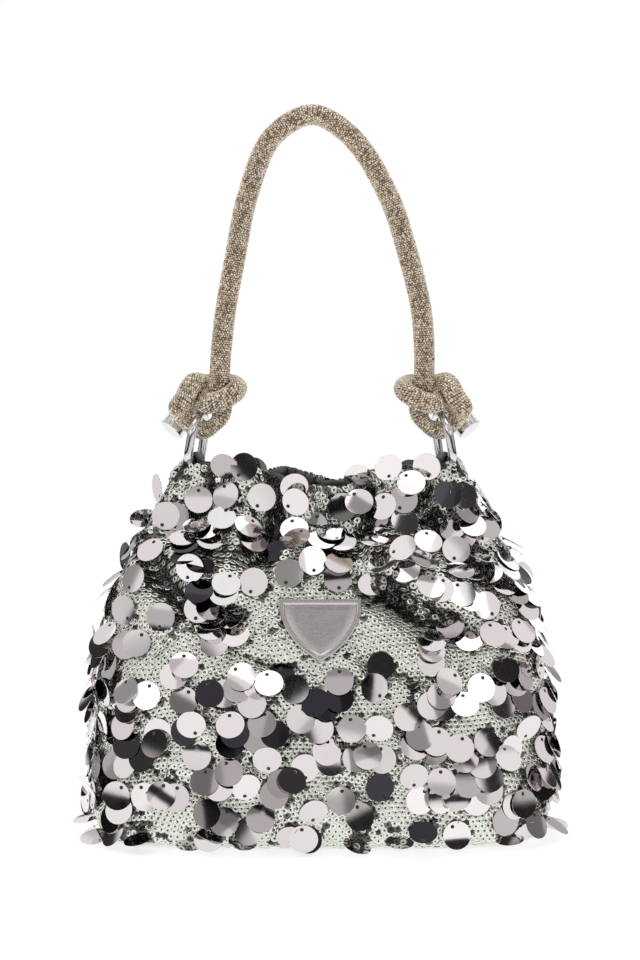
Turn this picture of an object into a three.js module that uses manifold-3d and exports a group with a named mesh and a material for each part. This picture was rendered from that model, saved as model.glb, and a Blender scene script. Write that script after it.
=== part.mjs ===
// A small sequinned evening pouch with a knotted rope handle.
// Millimetres, +Z up, front towards -Y, origin on the ground under the middle of the base.
//
// The pouch is a stack of rounded-rectangle sections, wide at the base and pinched at the mouth.
// One gusset strip makes both sides and the base, and a front and a back panel close it. A lining,
// two facings and a base board lie inside, and a magnetic snap holds the mouth shut. A rope handle
// is knotted round two D-rings, which hang in tabs sewn into the side seams.

import * as THREE from "three";
import { mergeVertices } from "three/addons/utils/BufferGeometryUtils.js";
import Module from "manifold-3d";

const wasm = await Module();
wasm.setup();

// ---- Driving dimensions -------------------------------------------------------------------

// The pouch's sections: height, half width, half depth, squareness of the corners.
const SECTIONS = [
  [0, 97, 42, 3.6],
  [4, 107, 47.5, 3.6],
  [12, 112, 51.5, 3.6],
  [28, 114, 54, 3.5],
  [55, 113, 54, 3.4],
  [85, 110, 50, 3.2],
  [110, 105.5, 43.5, 3.1],
  [132, 98.5, 33, 3.1],
  [147, 90.5, 20, 3.4],
  [157, 84.5, 12, 3.8],
  [167, 79.5, 11.6, 4],
  [176, 75.5, 11.5, 4],
  [192, 66, 11.5, 4],
];
const SECTION_SIDES = 36;
const LEAST_RISE = 0.4; // keeps the lowest rows apart where an inset lifts them

// Half depth of the gusset strip at each height; the panels take the rest of each section.
const GUSSET = [[-1, 38], [12, 38], [55, 36], [110, 26], [147, 12], [157, 6.8], [195, 6.8]];
const LINING_TRIM = 2.2; // the lining's strip is narrower than the gusset by this on each side
// The mouth's edge, from the middle outwards: low at the middle, up over a fold, up to the tab.
const MOUTH = [[0, 176], [15, 176.5], [31, 184], [46, 181], [60, 183.5], [90, 184]];
const EDGE_POINTS = 28; // along the mouth's edge
const FACING_BOTTOM = 150;

// Limits beyond the pouch on every side, for cutting: half width, half depth, under it, over it,
// and where every wall ends.
const WIDE = 150;
const DEEP = 80;
const UNDER = -5;
const OVER = 230;
const LID = 190;
const MOUTH_CORNER = 186;

const OUTER = 2; // thickness of the sequinned fabric with its backing
const CAVITY = 2.6; // between the outer fabric and the lining
const LINING = 1.2;
const GAP = 0.4; // between two fabric pieces that are sewn together
const BOARD = { halfWidth: 90, halfDepth: 35, corner: 14, thickness: 1.5, z: 2.3 };
const CLEAR = 0.35; // round a piece that passes through fabric

const POCKET = { halfWidth: 52, bottom: 45, top: 112, thickness: 0.8 };

const ROPE_RADIUS = 5;
const KNOT_RADIUS = 4.4; // the rope is squeezed where it is knotted
const CORE_RADIUS = 2.7;
const SLEEVE_BORE = 3.1;
const CORE_TIP = 0.2; // the core stands out of the sleeve by this at each end
const CAP = { radius: 6.5, wall: 1.3, length: 6.6, edge: 1.2, base: 1.8, floor: 0.6 };

// A D-ring of round wire: a half circle on two straight sides, closed by a bar.
const RING = { wire: 1.9, arc: 11, side: 12, corner: 3, x: 61.2, z: 200 };
const RING_LEAN = THREE.MathUtils.degToRad(9); // tops lean towards each other
const RING_TURN = THREE.MathUtils.degToRad(15); // front edges turn outwards
const TAB = { width: 12, ply: 1.4, tailWidth: 8, tail: 1.6, reach: 15, shift: 1.9, play: 0.6 };
const TAB_SLOPE = THREE.MathUtils.degToRad(32); // the side seam's lean under the ring

const BADGE = { halfWidth: 20, height: 31, cheek: 6, thickness: 2.2, rim: 2.4, recess: 0.7 };
const BADGE_POST = { radius: 1.5, spacing: 16, reach: 4, root: 0.5 };
const POST_HOLE = [-6, 4]; // deeper and higher than the posts, so that it passes through the fabric
const BADGE_Z = 107;
const BADGE_TILT = THREE.MathUtils.degToRad(19);
const BADGE_STANDOFF = 1.2;
const BACKING = { width: 24, height: 8, thickness: 0.8, gap: 0.9, z: 4 };

// The magnetic snap: its case, the stud with its socket, and the magnet in a groove between two walls.
const SNAP = { radius: 7, z: 166.5, stud: 3.2, socket: 4.3, play: 0.4, face: 0.2, depth: 2.4 };
const SNAP_WALL = { outer: 0.6, inner: 0.6, top: 2.3 };
const SNAP_MAGNET = { outer: 0.9, inner: 0.9, low: 0.1, high: 2 };
const STUD = { plate: 0.6, tip: -1.7, root: 1 };
const PRONG = { x: 4.2, halfWidth: 0.4, halfHeight: 1.4, root: 0.6, tip: 1.8 };
const WASHER = { gap: 0.65, thickness: 0.8 };

// ---- Materials ----------------------------------------------------------------------------

function material(color, roughness, metalness) {
  return new THREE.MeshStandardMaterial({ color, roughness, metalness });
}
const SEQUIN_FABRIC = material(0xc9c8bd, 0.35, 0.6);
const LINING_FABRIC = material(0x2b2a2c, 0.8, 0);
const FACING_FABRIC = material(0x1d1c1e, 0.55, 0);
const BOARD_STOCK = material(0x4a4640, 0.9, 0);
const CRYSTAL_MESH = material(0xa89a84, 0.3, 0.3);
const CORD = material(0xd8d2c4, 0.9, 0);
const POLISHED_STEEL = material(0xc4c4c6, 0.12, 1);
const SATIN_STEEL = material(0xa7a3a0, 0.35, 1);
const MAGNET = material(0x3c3c3e, 0.5, 0.8);

// ---- Helpers ------------------------------------------------------------------------------

// A closed three.js geometry as a manifold-3d solid.
function solidOf(geometry) {
  const bare = new THREE.BufferGeometry();
  bare.setAttribute("position", geometry.getAttribute("position").clone());
  if (geometry.index) bare.setIndex(geometry.index.clone());
  const merged = mergeVertices(bare, 1e-4);
  return new wasm.Manifold(
    new wasm.Mesh({
      numProp: 3,
      vertProperties: merged.attributes.position.array,
      triVerts: new Uint32Array(merged.index.array),
    }),
  );
}

// A manifold-3d solid as a three.js geometry.
function geometryOf(solid) {
  const mesh = solid.getMesh();
  const geometry = new THREE.BufferGeometry();
  geometry.setAttribute("position", new THREE.BufferAttribute(mesh.vertProperties, 3));
  geometry.setIndex(new THREE.BufferAttribute(mesh.triVerts, 1));
  return geometry;
}

// One named piece of a group, from a solid or a geometry. A placement moves it into the group.
function add(group, name, piece, finish, placement) {
  const geometry = piece.isBufferGeometry ? piece : geometryOf(piece);
  const mesh = new THREE.Mesh(geometry, finish);
  mesh.name = name;
  if (placement) mesh.applyMatrix4(placement);
  group.add(mesh);
}

// A smooth reading of a table whose rows start with their position.
function reader(rows, column) {
  const positions = rows.map((row) => row[0]);
  const values = rows.map((row) => row[column]);
  const curve = new THREE.CubicInterpolant(positions, values, 1);
  return (at) => curve.evaluate(THREE.MathUtils.clamp(at, positions[0], positions.at(-1)))[0];
}

function box(low, high) {
  const size = high.map((value, i) => value - low[i]);
  const middle = high.map((value, i) => (value + low[i]) / 2);
  return solidOf(new THREE.BoxGeometry(...size).translate(...middle));
}

// A cylinder along Y between two depths.
function rod(radius, from, to, x, z) {
  const geometry = new THREE.CylinderGeometry(radius, radius, to - from, 20);
  return solidOf(geometry.translate(x, (from + to) / 2, z));
}

// ---- The pouch ----------------------------------------------------------------------------

const halfWidth = reader(SECTIONS, 1);
const halfDepth = reader(SECTIONS, 2);
const squareness = reader(SECTIONS, 3);

// The pouch as a filled body, pulled in by an inset on every side: a cylinder whose rows are
// moved onto the sections.
function pouch(inset) {
  const rows = SECTIONS.length - 1;
  const geometry = new THREE.CylinderGeometry(1, 1, rows, SECTION_SIDES, rows);
  geometry.rotateX(Math.PI / 2);
  const place = geometry.getAttribute("position");
  for (let i = 0; i < place.count; i++) {
    const row = Math.round(place.getZ(i) + rows / 2);
    const z = Math.max(SECTIONS[row][0], inset + LEAST_RISE * row);
    const turn = Math.atan2(place.getY(i), place.getX(i));
    const share = Math.min(1, Math.hypot(place.getX(i), place.getY(i)));
    const power = 2 / squareness(z);
    const across = Math.sign(Math.cos(turn)) * Math.abs(Math.cos(turn)) ** power;
    const deep = Math.sign(Math.sin(turn)) * Math.abs(Math.sin(turn)) ** power;
    place.setXYZ(i, share * across * (halfWidth(z) - inset), share * deep * (halfDepth(z) - inset), z);
  }
  return solidOf(geometry);
}

// The fabric layer that starts at one inset and is so thick.
function layer(inset, thickness) {
  const inner = pouch(inset + thickness);
  const lid = box([-WIDE, -DEEP, LID], [WIDE, DEEP, OVER]);
  return pouch(inset).subtract(inner.add(lid));
}

// Everything on the front side (-1) or the back side (+1) of a strip narrowed by a trim.
function panelZone(side, trim) {
  const outline = new THREE.Shape();
  outline.moveTo(side * WIDE, UNDER);
  GUSSET.forEach(([z, depth]) => outline.lineTo(side * (depth - trim + GAP), z));
  outline.lineTo(side * WIDE, GUSSET.at(-1)[0]);
  return alongX(outline);
}

function stripZone(trim) {
  const outline = new THREE.Shape();
  outline.moveTo(trim - GUSSET[0][1], UNDER);
  GUSSET.forEach(([z, depth]) => outline.lineTo(depth - trim, z));
  [...GUSSET].reverse().forEach(([z, depth]) => outline.lineTo(trim - depth, z));
  return alongX(outline);
}

// An x and z outline carried along Y, half of it each way.
function alongY(outline, width) {
  const geometry = new THREE.ExtrudeGeometry(outline, {
    depth: width,
    bevelEnabled: false,
    curveSegments: 9,
  });
  return geometry.rotateX(Math.PI / 2).translate(0, width / 2, 0);
}

// A depth and height outline carried across the whole width.
function alongX(outline) {
  const geometry = new THREE.ExtrudeGeometry(outline, { depth: 2 * WIDE, bevelEnabled: false });
  geometry.translate(0, 0, -WIDE);
  geometry.applyMatrix4(
    new THREE.Matrix4().makeBasis(
      new THREE.Vector3(0, 1, 0),
      new THREE.Vector3(0, 0, 1),
      new THREE.Vector3(1, 0, 0),
    ),
  );
  return solidOf(geometry);
}

// The air above the mouth's edge.
function mouthZone() {
  const right = MOUTH.map(([x, z]) => new THREE.Vector2(x, z));
  const left = MOUTH.slice(1).reverse().map(([x, z]) => new THREE.Vector2(-x, z));
  const edge = new THREE.SplineCurve([...left, ...right]).getPoints(EDGE_POINTS);
  const outline = new THREE.Shape([
    ...edge,
    new THREE.Vector2(WIDE, MOUTH_CORNER),
    new THREE.Vector2(WIDE, OVER),
    new THREE.Vector2(-WIDE, OVER),
    new THREE.Vector2(-WIDE, MOUTH_CORNER),
  ]);
  return solidOf(alongY(outline, 2 * DEEP));
}

// A flat pocket on the back lining, open along its top.
function innerPocket() {
  const { halfWidth: reach, bottom, top, thickness } = POCKET;
  const sheet = layer(OUTER + CAVITY + LINING + GAP, thickness);
  return sheet.intersect(box([-reach, 0, bottom], [reach, DEEP, top]));
}

// ---- D-rings and tabs ---------------------------------------------------------------------

// The wire's centre line in the ring's own plane, from the arc's centre: y across, z up.
function ringPath() {
  const { arc, side, corner } = RING;
  const points = [];
  const sweep = (cy, cz, radius, from, to, count) => {
    for (let i = 0; i <= count; i++) {
      const angle = THREE.MathUtils.degToRad(from + ((to - from) * i) / count);
      points.push(new THREE.Vector3(0, cy + radius * Math.cos(angle), cz + radius * Math.sin(angle)));
    }
  };
  sweep(0, 0, arc, 0, 180, 12);
  sweep(corner - arc, corner - side, corner, 180, 270, 3);
  [-0.94, -0.7, 0, 0.7, 0.94].forEach((share) => {
    points.push(new THREE.Vector3(0, share * (arc - corner), -side));
  });
  sweep(arc - corner, corner - side, corner, 270, 360, 3);
  return new THREE.CatmullRomCurve3(points, true, "centripetal");
}

// Turns a piece from the ring's own plane to its place; side is -1 for left and +1 for right.
function ringPlacement(side) {
  const up = new THREE.Vector3(-side * Math.sin(RING_LEAN), 0, Math.cos(RING_LEAN));
  const back = new THREE.Vector3(-side * Math.sin(RING_TURN), Math.cos(RING_TURN), 0);
  back.addScaledVector(up, -back.dot(up)).normalize();
  const out = new THREE.Vector3().crossVectors(back, up);
  return new THREE.Matrix4().makeBasis(out, back, up).setPosition(side * RING.x, 0, RING.z);
}

function dRing() {
  return new THREE.TubeGeometry(ringPath(), 40, RING.wire, 8, true);
}

// A strip folded round the ring's bar, whose two ends run down inside the side seam. Grown, it is
// the room the strip needs.
function ringTab(side, grow = 0) {
  const placement = ringPlacement(side);
  const bar = new THREE.Vector3(0, 0, -RING.side).applyMatrix4(placement);
  const hole = RING.wire + TAB.play;
  const reach = hole + TAB.ply + grow;
  const loop = new THREE.Shape().absarc(0, 0, reach, 0, 2 * Math.PI);
  if (!grow) loop.holes.push(new THREE.Path().absarc(0, 0, hole, 0, 2 * Math.PI));
  const loopGeometry = alongY(loop, TAB.width + 2 * grow);
  loopGeometry.translate(0, 0, -RING.side).applyMatrix4(placement);

  const half = TAB.tail / 2 + grow;
  const tail = new THREE.BoxGeometry(2 * half, TAB.tailWidth + 2 * grow, TAB.reach - hole + grow);
  tail.translate(side * TAB.shift, 0, -(TAB.reach + hole + grow) / 2);
  tail.rotateY(-side * TAB_SLOPE).translate(bar.x, bar.y, bar.z);
  return solidOf(loopGeometry).add(solidOf(tail));
}

// ---- The rope handle ----------------------------------------------------------------------

// The knot's path on the left ring, as x, y, z from the middle of the ring's arc. It is an overhand
// knot: the rope passes through the ring, up behind itself, round its own front and out at the back.
const KNOT = [
  [12, -0.5, 45], // down the left leg of the handle
  [11, -1.5, 31],
  [10.5, -1.5, 23], // under the turn that crosses the front
  [12, 1, 16],
  [11, -0.5, 9],
  [6, 0, 4], // under the ring's arc
  [-0.5, 3, 3],
  [-6.5, 2.5, 7],
  [-9.5, -7, 14], // up the outer side
  [-6, -9, 19.5],
  [-2.5, -4, 26],
  [3, 13, 25.5],
  [9.5, 15, 25.5], // behind the leg
  [15.5, 12.5, 25.5],
  [19.5, -2.5, 23.5],
  [17, -8, 21],
  [11.5, -9.5, 18], // across the front
  [5.5, -8, 16.5],
  [1.5, -3, 17.5],
  [-1, 6, 17],
  [-5, 13.5, 12.5], // out behind the outer side
  [-9, 14.5, 8],
  [-13, 12.5, 3.5],
];
const RIGHT_LEG = [-2.5, -1.5, -0.5]; // the right leg's first points lie this much further out
const LEG_POINTS = 2; // of the knot's points, so many belong to the leg above it
// The handle above the knots, from the left leg to the right one, as x and z.
const ARCH = [
  [-47.3, 262],
  [-42.4, 289],
  [-36, 320],
  [-23.8, 348.5],
  [-4.3, 359.5],
  [15.4, 348.5],
  [33.6, 320],
  [44, 289],
  [50, 264],
];

// The points from the left knot's tail to the right one's, leaving out some at each end.
function ropePoints(leftOut) {
  const at = ([x, y, z]) => new THREE.Vector3(x - RING.x, y, z + RING.z);
  const left = KNOT.slice(0, KNOT.length - leftOut).map(at);
  const right = left.map((point, i) => new THREE.Vector3(-point.x - (RIGHT_LEG[i] ?? 0), point.y, point.z));
  const arch = ARCH.map(([x, z]) => new THREE.Vector3(x, 0, z));
  return [...left.reverse(), ...arch, ...right];
}

function ropePath({ leftOut = 0, beyond = 0 } = {}) {
  const points = ropePoints(leftOut);
  if (beyond) {
    points.unshift(pointPast(points[0], points[1], beyond));
    points.push(pointPast(points.at(-1), points.at(-2), beyond));
  }
  return new THREE.CatmullRomCurve3(points, false, "centripetal");
}

function pointPast(end, inner, distance) {
  const outwards = end.clone().sub(inner).normalize();
  return end.clone().addScaledVector(outwards, distance);
}

// A polygon carried along the rope, in steps that are short in the knots and long in the arch.
function alongRope(radius, sides, reach) {
  const corners = Array.from({ length: sides }, (_, i) => {
    const angle = (2 * Math.PI * i) / sides;
    return new THREE.Vector2(radius * Math.cos(angle), radius * Math.sin(angle));
  });
  const extrudePath = ropePath(reach);
  extrudePath.getUtoTmapping = (share) => share;
  const steps = 2 * (extrudePath.points.length - 1);
  const options = { steps, bevelEnabled: false, extrudePath };
  return solidOf(new THREE.ExtrudeGeometry(new THREE.Shape(corners), options));
}

// The stone-set tube: thinner in the knots than in the arch, with a bore for the core.
function ropeSleeve() {
  const knots = alongRope(KNOT_RADIUS, 8);
  const arch = alongRope(ROPE_RADIUS, 8, { leftOut: KNOT.length - LEG_POINTS });
  return knots.add(arch).subtract(alongRope(SLEEVE_BORE, 6, { beyond: CORE_TIP }));
}

// A cup over the rope's end, closed towards +Y, with the rope's end at its origin.
function endCap() {
  const { radius, wall, length, edge, base, floor } = CAP;
  const outline = [
    [0, floor],
    [radius - wall, floor],
    [radius - wall, floor - length],
    [radius, floor - length],
    [radius, base - edge],
    [radius - 0.3 * edge, base - 0.3 * edge],
    [radius - edge, base],
    [0, base],
  ];
  return new THREE.LatheGeometry(outline.map(([r, h]) => new THREE.Vector2(r, h)), 18);
}

// The place of the cup on the left (-1) or right (+1) end, lined up with the rope inside it.
function endCapPlacement(side) {
  const path = ropePath();
  const inside = CAP.length / path.getLength();
  const tip = path.getPointAt(side < 0 ? 0 : 1);
  const inner = path.getPointAt(side < 0 ? inside : 1 - inside);
  const outwards = tip.clone().sub(inner).normalize();
  const turn = new THREE.Quaternion().setFromUnitVectors(new THREE.Vector3(0, 1, 0), outwards);
  return new THREE.Matrix4().makeRotationFromQuaternion(turn).setPosition(tip);
}

// ---- The badge ----------------------------------------------------------------------------

// A plain shield: a straight top, short cheeks and two curved sides that meet in a blunt foot.
function shieldOutline(inset) {
  const w = BADGE.halfWidth - inset;
  const top = BADGE.height / 2 - inset;
  const foot = -BADGE.height / 2 + 1.3 * inset;
  const cheek = top - BADGE.cheek + 0.6 * inset;
  const shape = new THREE.Shape();
  shape.moveTo(-w, top);
  shape.lineTo(-w, cheek);
  shape.quadraticCurveTo(-0.8 * w, foot + 0.34 * (cheek - foot), 0, foot);
  shape.quadraticCurveTo(0.8 * w, foot + 0.34 * (cheek - foot), w, cheek);
  shape.lineTo(w, top);
  return shape;
}

// Carries a badge piece, modelled face up with its top along +Y, onto the front of the pouch.
const badgePlacement = new THREE.Matrix4()
  .makeRotationX(Math.PI / 2 - BADGE_TILT)
  .setPosition(0, -halfDepth(BADGE_Z), BADGE_Z);

// The badge's two posts between two heights.
function badgePosts(radius, from, to) {
  const posts = [-1, 1].map((side) => {
    const geometry = new THREE.CylinderGeometry(radius, radius, to - from, 12).rotateX(Math.PI / 2);
    return solidOf(geometry.translate((side * BADGE_POST.spacing) / 2, BACKING.z, (from + to) / 2));
  });
  return posts[0].add(posts[1]);
}

function badgeSlab(inset, low, high) {
  const options = { depth: high - low, bevelEnabled: false, curveSegments: 10 };
  return solidOf(new THREE.ExtrudeGeometry(shieldOutline(inset), options).translate(0, 0, low));
}

// A plain plate with a raised rim, on two posts.
function badgePlate() {
  const face = BADGE_STANDOFF + BADGE.thickness;
  const plate = badgeSlab(0, BADGE_STANDOFF, face);
  const recess = badgeSlab(BADGE.rim, face - BADGE.recess, face + 1);
  const posts = badgePosts(BADGE_POST.radius, -BADGE_POST.reach, BADGE_STANDOFF + BADGE_POST.root);
  return plate.subtract(recess).add(posts);
}

// The sheet behind the fabric that the posts are riveted over.
function badgeBacking(holes) {
  const sheet = new THREE.BoxGeometry(BACKING.width, BACKING.height, BACKING.thickness);
  const middle = -OUTER - BACKING.gap - BACKING.thickness / 2;
  return solidOf(sheet.translate(0, BACKING.z, middle)).subtract(holes);
}

// ---- The magnetic snap --------------------------------------------------------------------

const facingFace = halfDepth(SNAP.z) - OUTER - CAVITY - LINING;
const backOfSnap = facingFace - SNAP.play;

// The two legs that pass through the facing on the side given. Grown, they cut its slits.
function prongs(side, grow = 0) {
  const [near, far] = [backOfSnap - PRONG.root, facingFace + LINING + PRONG.tip + grow];
  return [-1, 1].map((leg) => {
    const x = leg * PRONG.x;
    const across = PRONG.halfWidth + grow;
    const up = PRONG.halfHeight + grow;
    const [low, high] = side < 0 ? [-far, -near] : [near, far];
    return box([x - across, low, SNAP.z - up], [x + across, high, SNAP.z + up]);
  });
}

function snapSocket() {
  const { radius, socket, face, depth, z } = SNAP;
  const casing = rod(radius, -backOfSnap, face, 0, z);
  const recess = rod(socket, face - depth, face + 1, 0, z);
  const seat = rod(radius - SNAP_WALL.outer, -backOfSnap - 1, SNAP_WALL.top - backOfSnap, 0, z);
  const column = rod(socket + SNAP_WALL.inner, -backOfSnap - 2, face, 0, z);
  const legs = prongs(-1);
  return casing.subtract(seat.subtract(column)).subtract(recess).add(legs[0]).add(legs[1]);
}

function snapMagnet() {
  const { outer: wall, inner, low, high } = SNAP_MAGNET;
  const ring = rod(SNAP.radius - wall, low - backOfSnap, high - backOfSnap, 0, SNAP.z);
  return ring.subtract(rod(SNAP.socket + inner, -DEEP, DEEP, 0, SNAP.z));
}

function snapStud() {
  const plate = rod(SNAP.radius, STUD.plate, backOfSnap, 0, SNAP.z);
  const stud = rod(SNAP.stud, STUD.tip, STUD.root, 0, SNAP.z);
  const legs = prongs(1);
  return plate.add(stud).add(legs[0]).add(legs[1]);
}

function snapWasher(side) {
  const near = facingFace + LINING + WASHER.gap;
  const far = near + WASHER.thickness;
  const [low, high] = side < 0 ? [-far, -near] : [near, far];
  return cut(rod(SNAP.radius, low, high, 0, SNAP.z), prongs(side, CLEAR));
}

// ---- The base board -----------------------------------------------------------------------

function baseBoard() {
  const { halfWidth: x, halfDepth: y, corner, thickness, z } = BOARD;
  const outline = new THREE.Shape();
  outline.absarc(x - corner, y - corner, corner, 0, 0.5 * Math.PI);
  outline.absarc(corner - x, y - corner, corner, 0.5 * Math.PI, Math.PI);
  outline.absarc(corner - x, corner - y, corner, Math.PI, 1.5 * Math.PI);
  outline.absarc(x - corner, corner - y, corner, 1.5 * Math.PI, 2 * Math.PI);
  const options = { depth: thickness, bevelEnabled: false, curveSegments: 5 };
  return new THREE.ExtrudeGeometry(outline, options).translate(0, 0, z);
}

// ---- Assembly -----------------------------------------------------------------------------

function cut(solid, tools) {
  return tools.reduce((left, tool) => left.subtract(tool), solid);
}

const openings = [mouthZone(), ringTab(-1, CLEAR), ringTab(1, CLEAR)];
const outer = cut(layer(0, OUTER), openings);
const lining = cut(layer(OUTER + CAVITY, LINING), openings);
const belowFacing = box([-WIDE, -DEEP, UNDER], [WIDE, DEEP, FACING_BOTTOM]);
const aboveLining = box([-WIDE, -DEEP, FACING_BOTTOM + GAP], [WIDE, DEEP, OVER]);
const postHoles = badgePosts(BADGE_POST.radius + CLEAR, ...POST_HOLE);
const holesInPanel = postHoles.transform(badgePlacement.elements);

// The gusset and everything that stays with it.
const pouchBody = new THREE.Group();
add(pouchBody, "gusset_strip", outer.intersect(stripZone(0)), SEQUIN_FABRIC);
add(pouchBody, "lining_strip", lining.intersect(stripZone(LINING_TRIM)), LINING_FABRIC);
add(pouchBody, "base_board", baseBoard(), BOARD_STOCK);
add(pouchBody, "left_ring_tab", ringTab(-1), FACING_FABRIC);
add(pouchBody, "right_ring_tab", ringTab(1), FACING_FABRIC);
add(pouchBody, "left_d_ring", dRing(), POLISHED_STEEL, ringPlacement(-1));
add(pouchBody, "right_d_ring", dRing(), POLISHED_STEEL, ringPlacement(1));

// The front wall with the badge and the half of the snap that has the socket.
const frontWall = new THREE.Group();
const frontOuter = outer.intersect(panelZone(-1, 0)).subtract(holesInPanel);
const frontInner = lining.intersect(panelZone(-1, LINING_TRIM));
const frontFacing = cut(frontInner.intersect(aboveLining), prongs(-1, CLEAR));
add(frontWall, "front_panel", frontOuter, SEQUIN_FABRIC);
add(frontWall, "front_lining", frontInner.intersect(belowFacing), LINING_FABRIC);
add(frontWall, "front_facing", frontFacing, FACING_FABRIC);
add(frontWall, "badge_plate", badgePlate(), SATIN_STEEL, badgePlacement);
add(frontWall, "badge_backing_plate", badgeBacking(postHoles), SATIN_STEEL, badgePlacement);
add(frontWall, "snap_socket", snapSocket(), POLISHED_STEEL);
add(frontWall, "snap_magnet", snapMagnet(), MAGNET);
add(frontWall, "snap_socket_washer", snapWasher(-1), SATIN_STEEL);

// The back wall with the pocket and the half of the snap that has the stud.
const backWall = new THREE.Group();
const backInner = lining.intersect(panelZone(1, LINING_TRIM));
const backFacing = cut(backInner.intersect(aboveLining), prongs(1, CLEAR));
add(backWall, "back_panel", outer.intersect(panelZone(1, 0)), SEQUIN_FABRIC);
add(backWall, "back_lining", backInner.intersect(belowFacing), LINING_FABRIC);
add(backWall, "back_facing", backFacing, FACING_FABRIC);
add(backWall, "inner_pocket", innerPocket(), LINING_FABRIC);
add(backWall, "snap_stud", snapStud(), POLISHED_STEEL);
add(backWall, "snap_stud_washer", snapWasher(1), SATIN_STEEL);

// The handle, which swings about the middles of the two rings' arcs.
const handle = new THREE.Group();
add(handle, "rope_sleeve", ropeSleeve(), CRYSTAL_MESH);
add(handle, "rope_core", alongRope(CORE_RADIUS, 6, { beyond: CORE_TIP }), CORD);
add(handle, "left_end_cap", endCap(), POLISHED_STEEL, endCapPlacement(-1));
add(handle, "right_end_cap", endCap(), POLISHED_STEEL, endCapPlacement(1));

const bag = new THREE.Group();
bag.add(pouchBody, frontWall, backWall, handle);

export default bag;
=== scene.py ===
"""Looks of a small pouch bag covered in sequins and discs, with a knotted rope handle.

Shapes are worked out in millimetres and turned into metres when a mesh is made. The pouch's outer
surface is a wrapped grid of points: columns run round the bag from the middle of the front, rows
run from the base to the mouth. Sequins, discs and the lining are all placed from that grid.
"""

import math

import bpy
import numpy as np
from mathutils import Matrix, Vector
from mathutils.bvhtree import BVHTree


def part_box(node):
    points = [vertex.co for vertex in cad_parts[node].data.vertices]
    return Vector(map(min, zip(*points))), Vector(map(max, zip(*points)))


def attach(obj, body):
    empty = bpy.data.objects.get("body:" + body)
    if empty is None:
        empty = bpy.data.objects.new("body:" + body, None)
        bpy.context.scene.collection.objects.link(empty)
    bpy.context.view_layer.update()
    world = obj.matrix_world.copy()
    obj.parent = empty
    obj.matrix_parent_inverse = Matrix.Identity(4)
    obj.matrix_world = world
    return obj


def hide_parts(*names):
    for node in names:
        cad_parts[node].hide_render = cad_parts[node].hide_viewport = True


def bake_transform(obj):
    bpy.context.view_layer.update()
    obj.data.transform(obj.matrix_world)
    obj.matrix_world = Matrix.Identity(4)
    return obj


MM = 0.001
random = np.random.default_rng(58)

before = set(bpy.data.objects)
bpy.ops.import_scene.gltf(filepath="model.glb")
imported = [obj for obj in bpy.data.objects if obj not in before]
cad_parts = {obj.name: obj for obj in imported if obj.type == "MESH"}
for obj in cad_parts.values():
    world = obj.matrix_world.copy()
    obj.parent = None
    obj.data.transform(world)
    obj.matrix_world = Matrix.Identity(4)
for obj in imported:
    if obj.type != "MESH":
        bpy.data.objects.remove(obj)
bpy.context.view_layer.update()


def far_corner(node):
    """The largest x, y and z of a CAD node, in millimetres."""
    return np.array(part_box(node)[1]) / MM


# ---- Measures, in millimetres ---------------------------------------------------------------

# The fabric lies a little inside the CAD pouch, so that the sequins and discs end about level with it.
HALF_WIDTH = far_corner("gusset_strip")[0] - 3.0
HALF_DEPTH = far_corner("back_panel")[1] - 1.5

# The pouch's sections: height, share of the half width, share of the half depth, squareness.
SECTIONS = np.array(
    [
        [0, 0.85, 0.78, 3.6],
        [4, 0.94, 0.88, 3.6],
        [12, 0.985, 0.955, 3.6],
        [28, 1.0, 1.0, 3.5],
        [55, 0.99, 1.0, 3.4],
        [85, 0.965, 0.93, 3.2],
        [110, 0.925, 0.81, 3.1],
        [132, 0.865, 0.62, 3.1],
        [147, 0.795, 0.39, 3.3],
        [157, 0.742, 0.25, 3.6],
        [167, 0.698, 0.215, 3.8],
        [176, 0.662, 0.205, 4.0],
        [192, 0.59, 0.19, 4.0],
    ]
)
# The mouth's edge on the front and on the back: distance from the middle, height.
FRONT_EDGE = np.array(
    [[-70, 187], [-56, 185], [-42, 185.5], [-31, 184], [-24, 181], [-16, 175.5], [0, 175],
     [15, 175.5], [23, 181], [30, 184], [45, 183], [58, 185.5], [70, 187]]
)
BACK_EDGE = np.array(
    [[-70, 187], [-50, 184], [-34, 181], [-18, 183], [0, 178.5], [14, 177.5], [30, 182], [50, 183.5],
     [70, 187]]
)
EDGE_REACH = 76  # how far the edges' tables are stretched round each quarter
FOOT = 1.0  # height of the outer fabric's lowest row
QUARTER = 52  # columns in a quarter of the way round
COLUMNS = 4 * QUARTER
ROWS = 88
QUARTER_NAMES = ["front_right", "back_right", "back_left", "front_left"]

FABRIC_THICKNESS = 1.2
LINING_DEPTH = 4.8  # from the outer surface to the lining
FACING_ROWS = 12  # rows of the band inside the mouth

RING_X, RING_Z = 61.2, 200.0
RING_ARC, RING_SIDE, RING_CORNER, RING_WIRE = 11.0, 12.0, 3.0, 2.2
RING_LEAN, RING_TURN = math.radians(9), math.radians(15)

ROPE_RADIUS, KNOT_RADIUS = 4.75, 4.65
CAP_RADIUS, CAP_LENGTH, CAP_WALL = 6.4, 8.4, 0.5

BADGE_HALF, BADGE_HEIGHT, BADGE_CHEEK = 20.0, 31.0, 6.0
BADGE_Z, BADGE_TILT, BADGE_STANDOFF = 107.0, math.radians(19), 1.2


# ---- Mesh helpers ---------------------------------------------------------------------------


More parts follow.
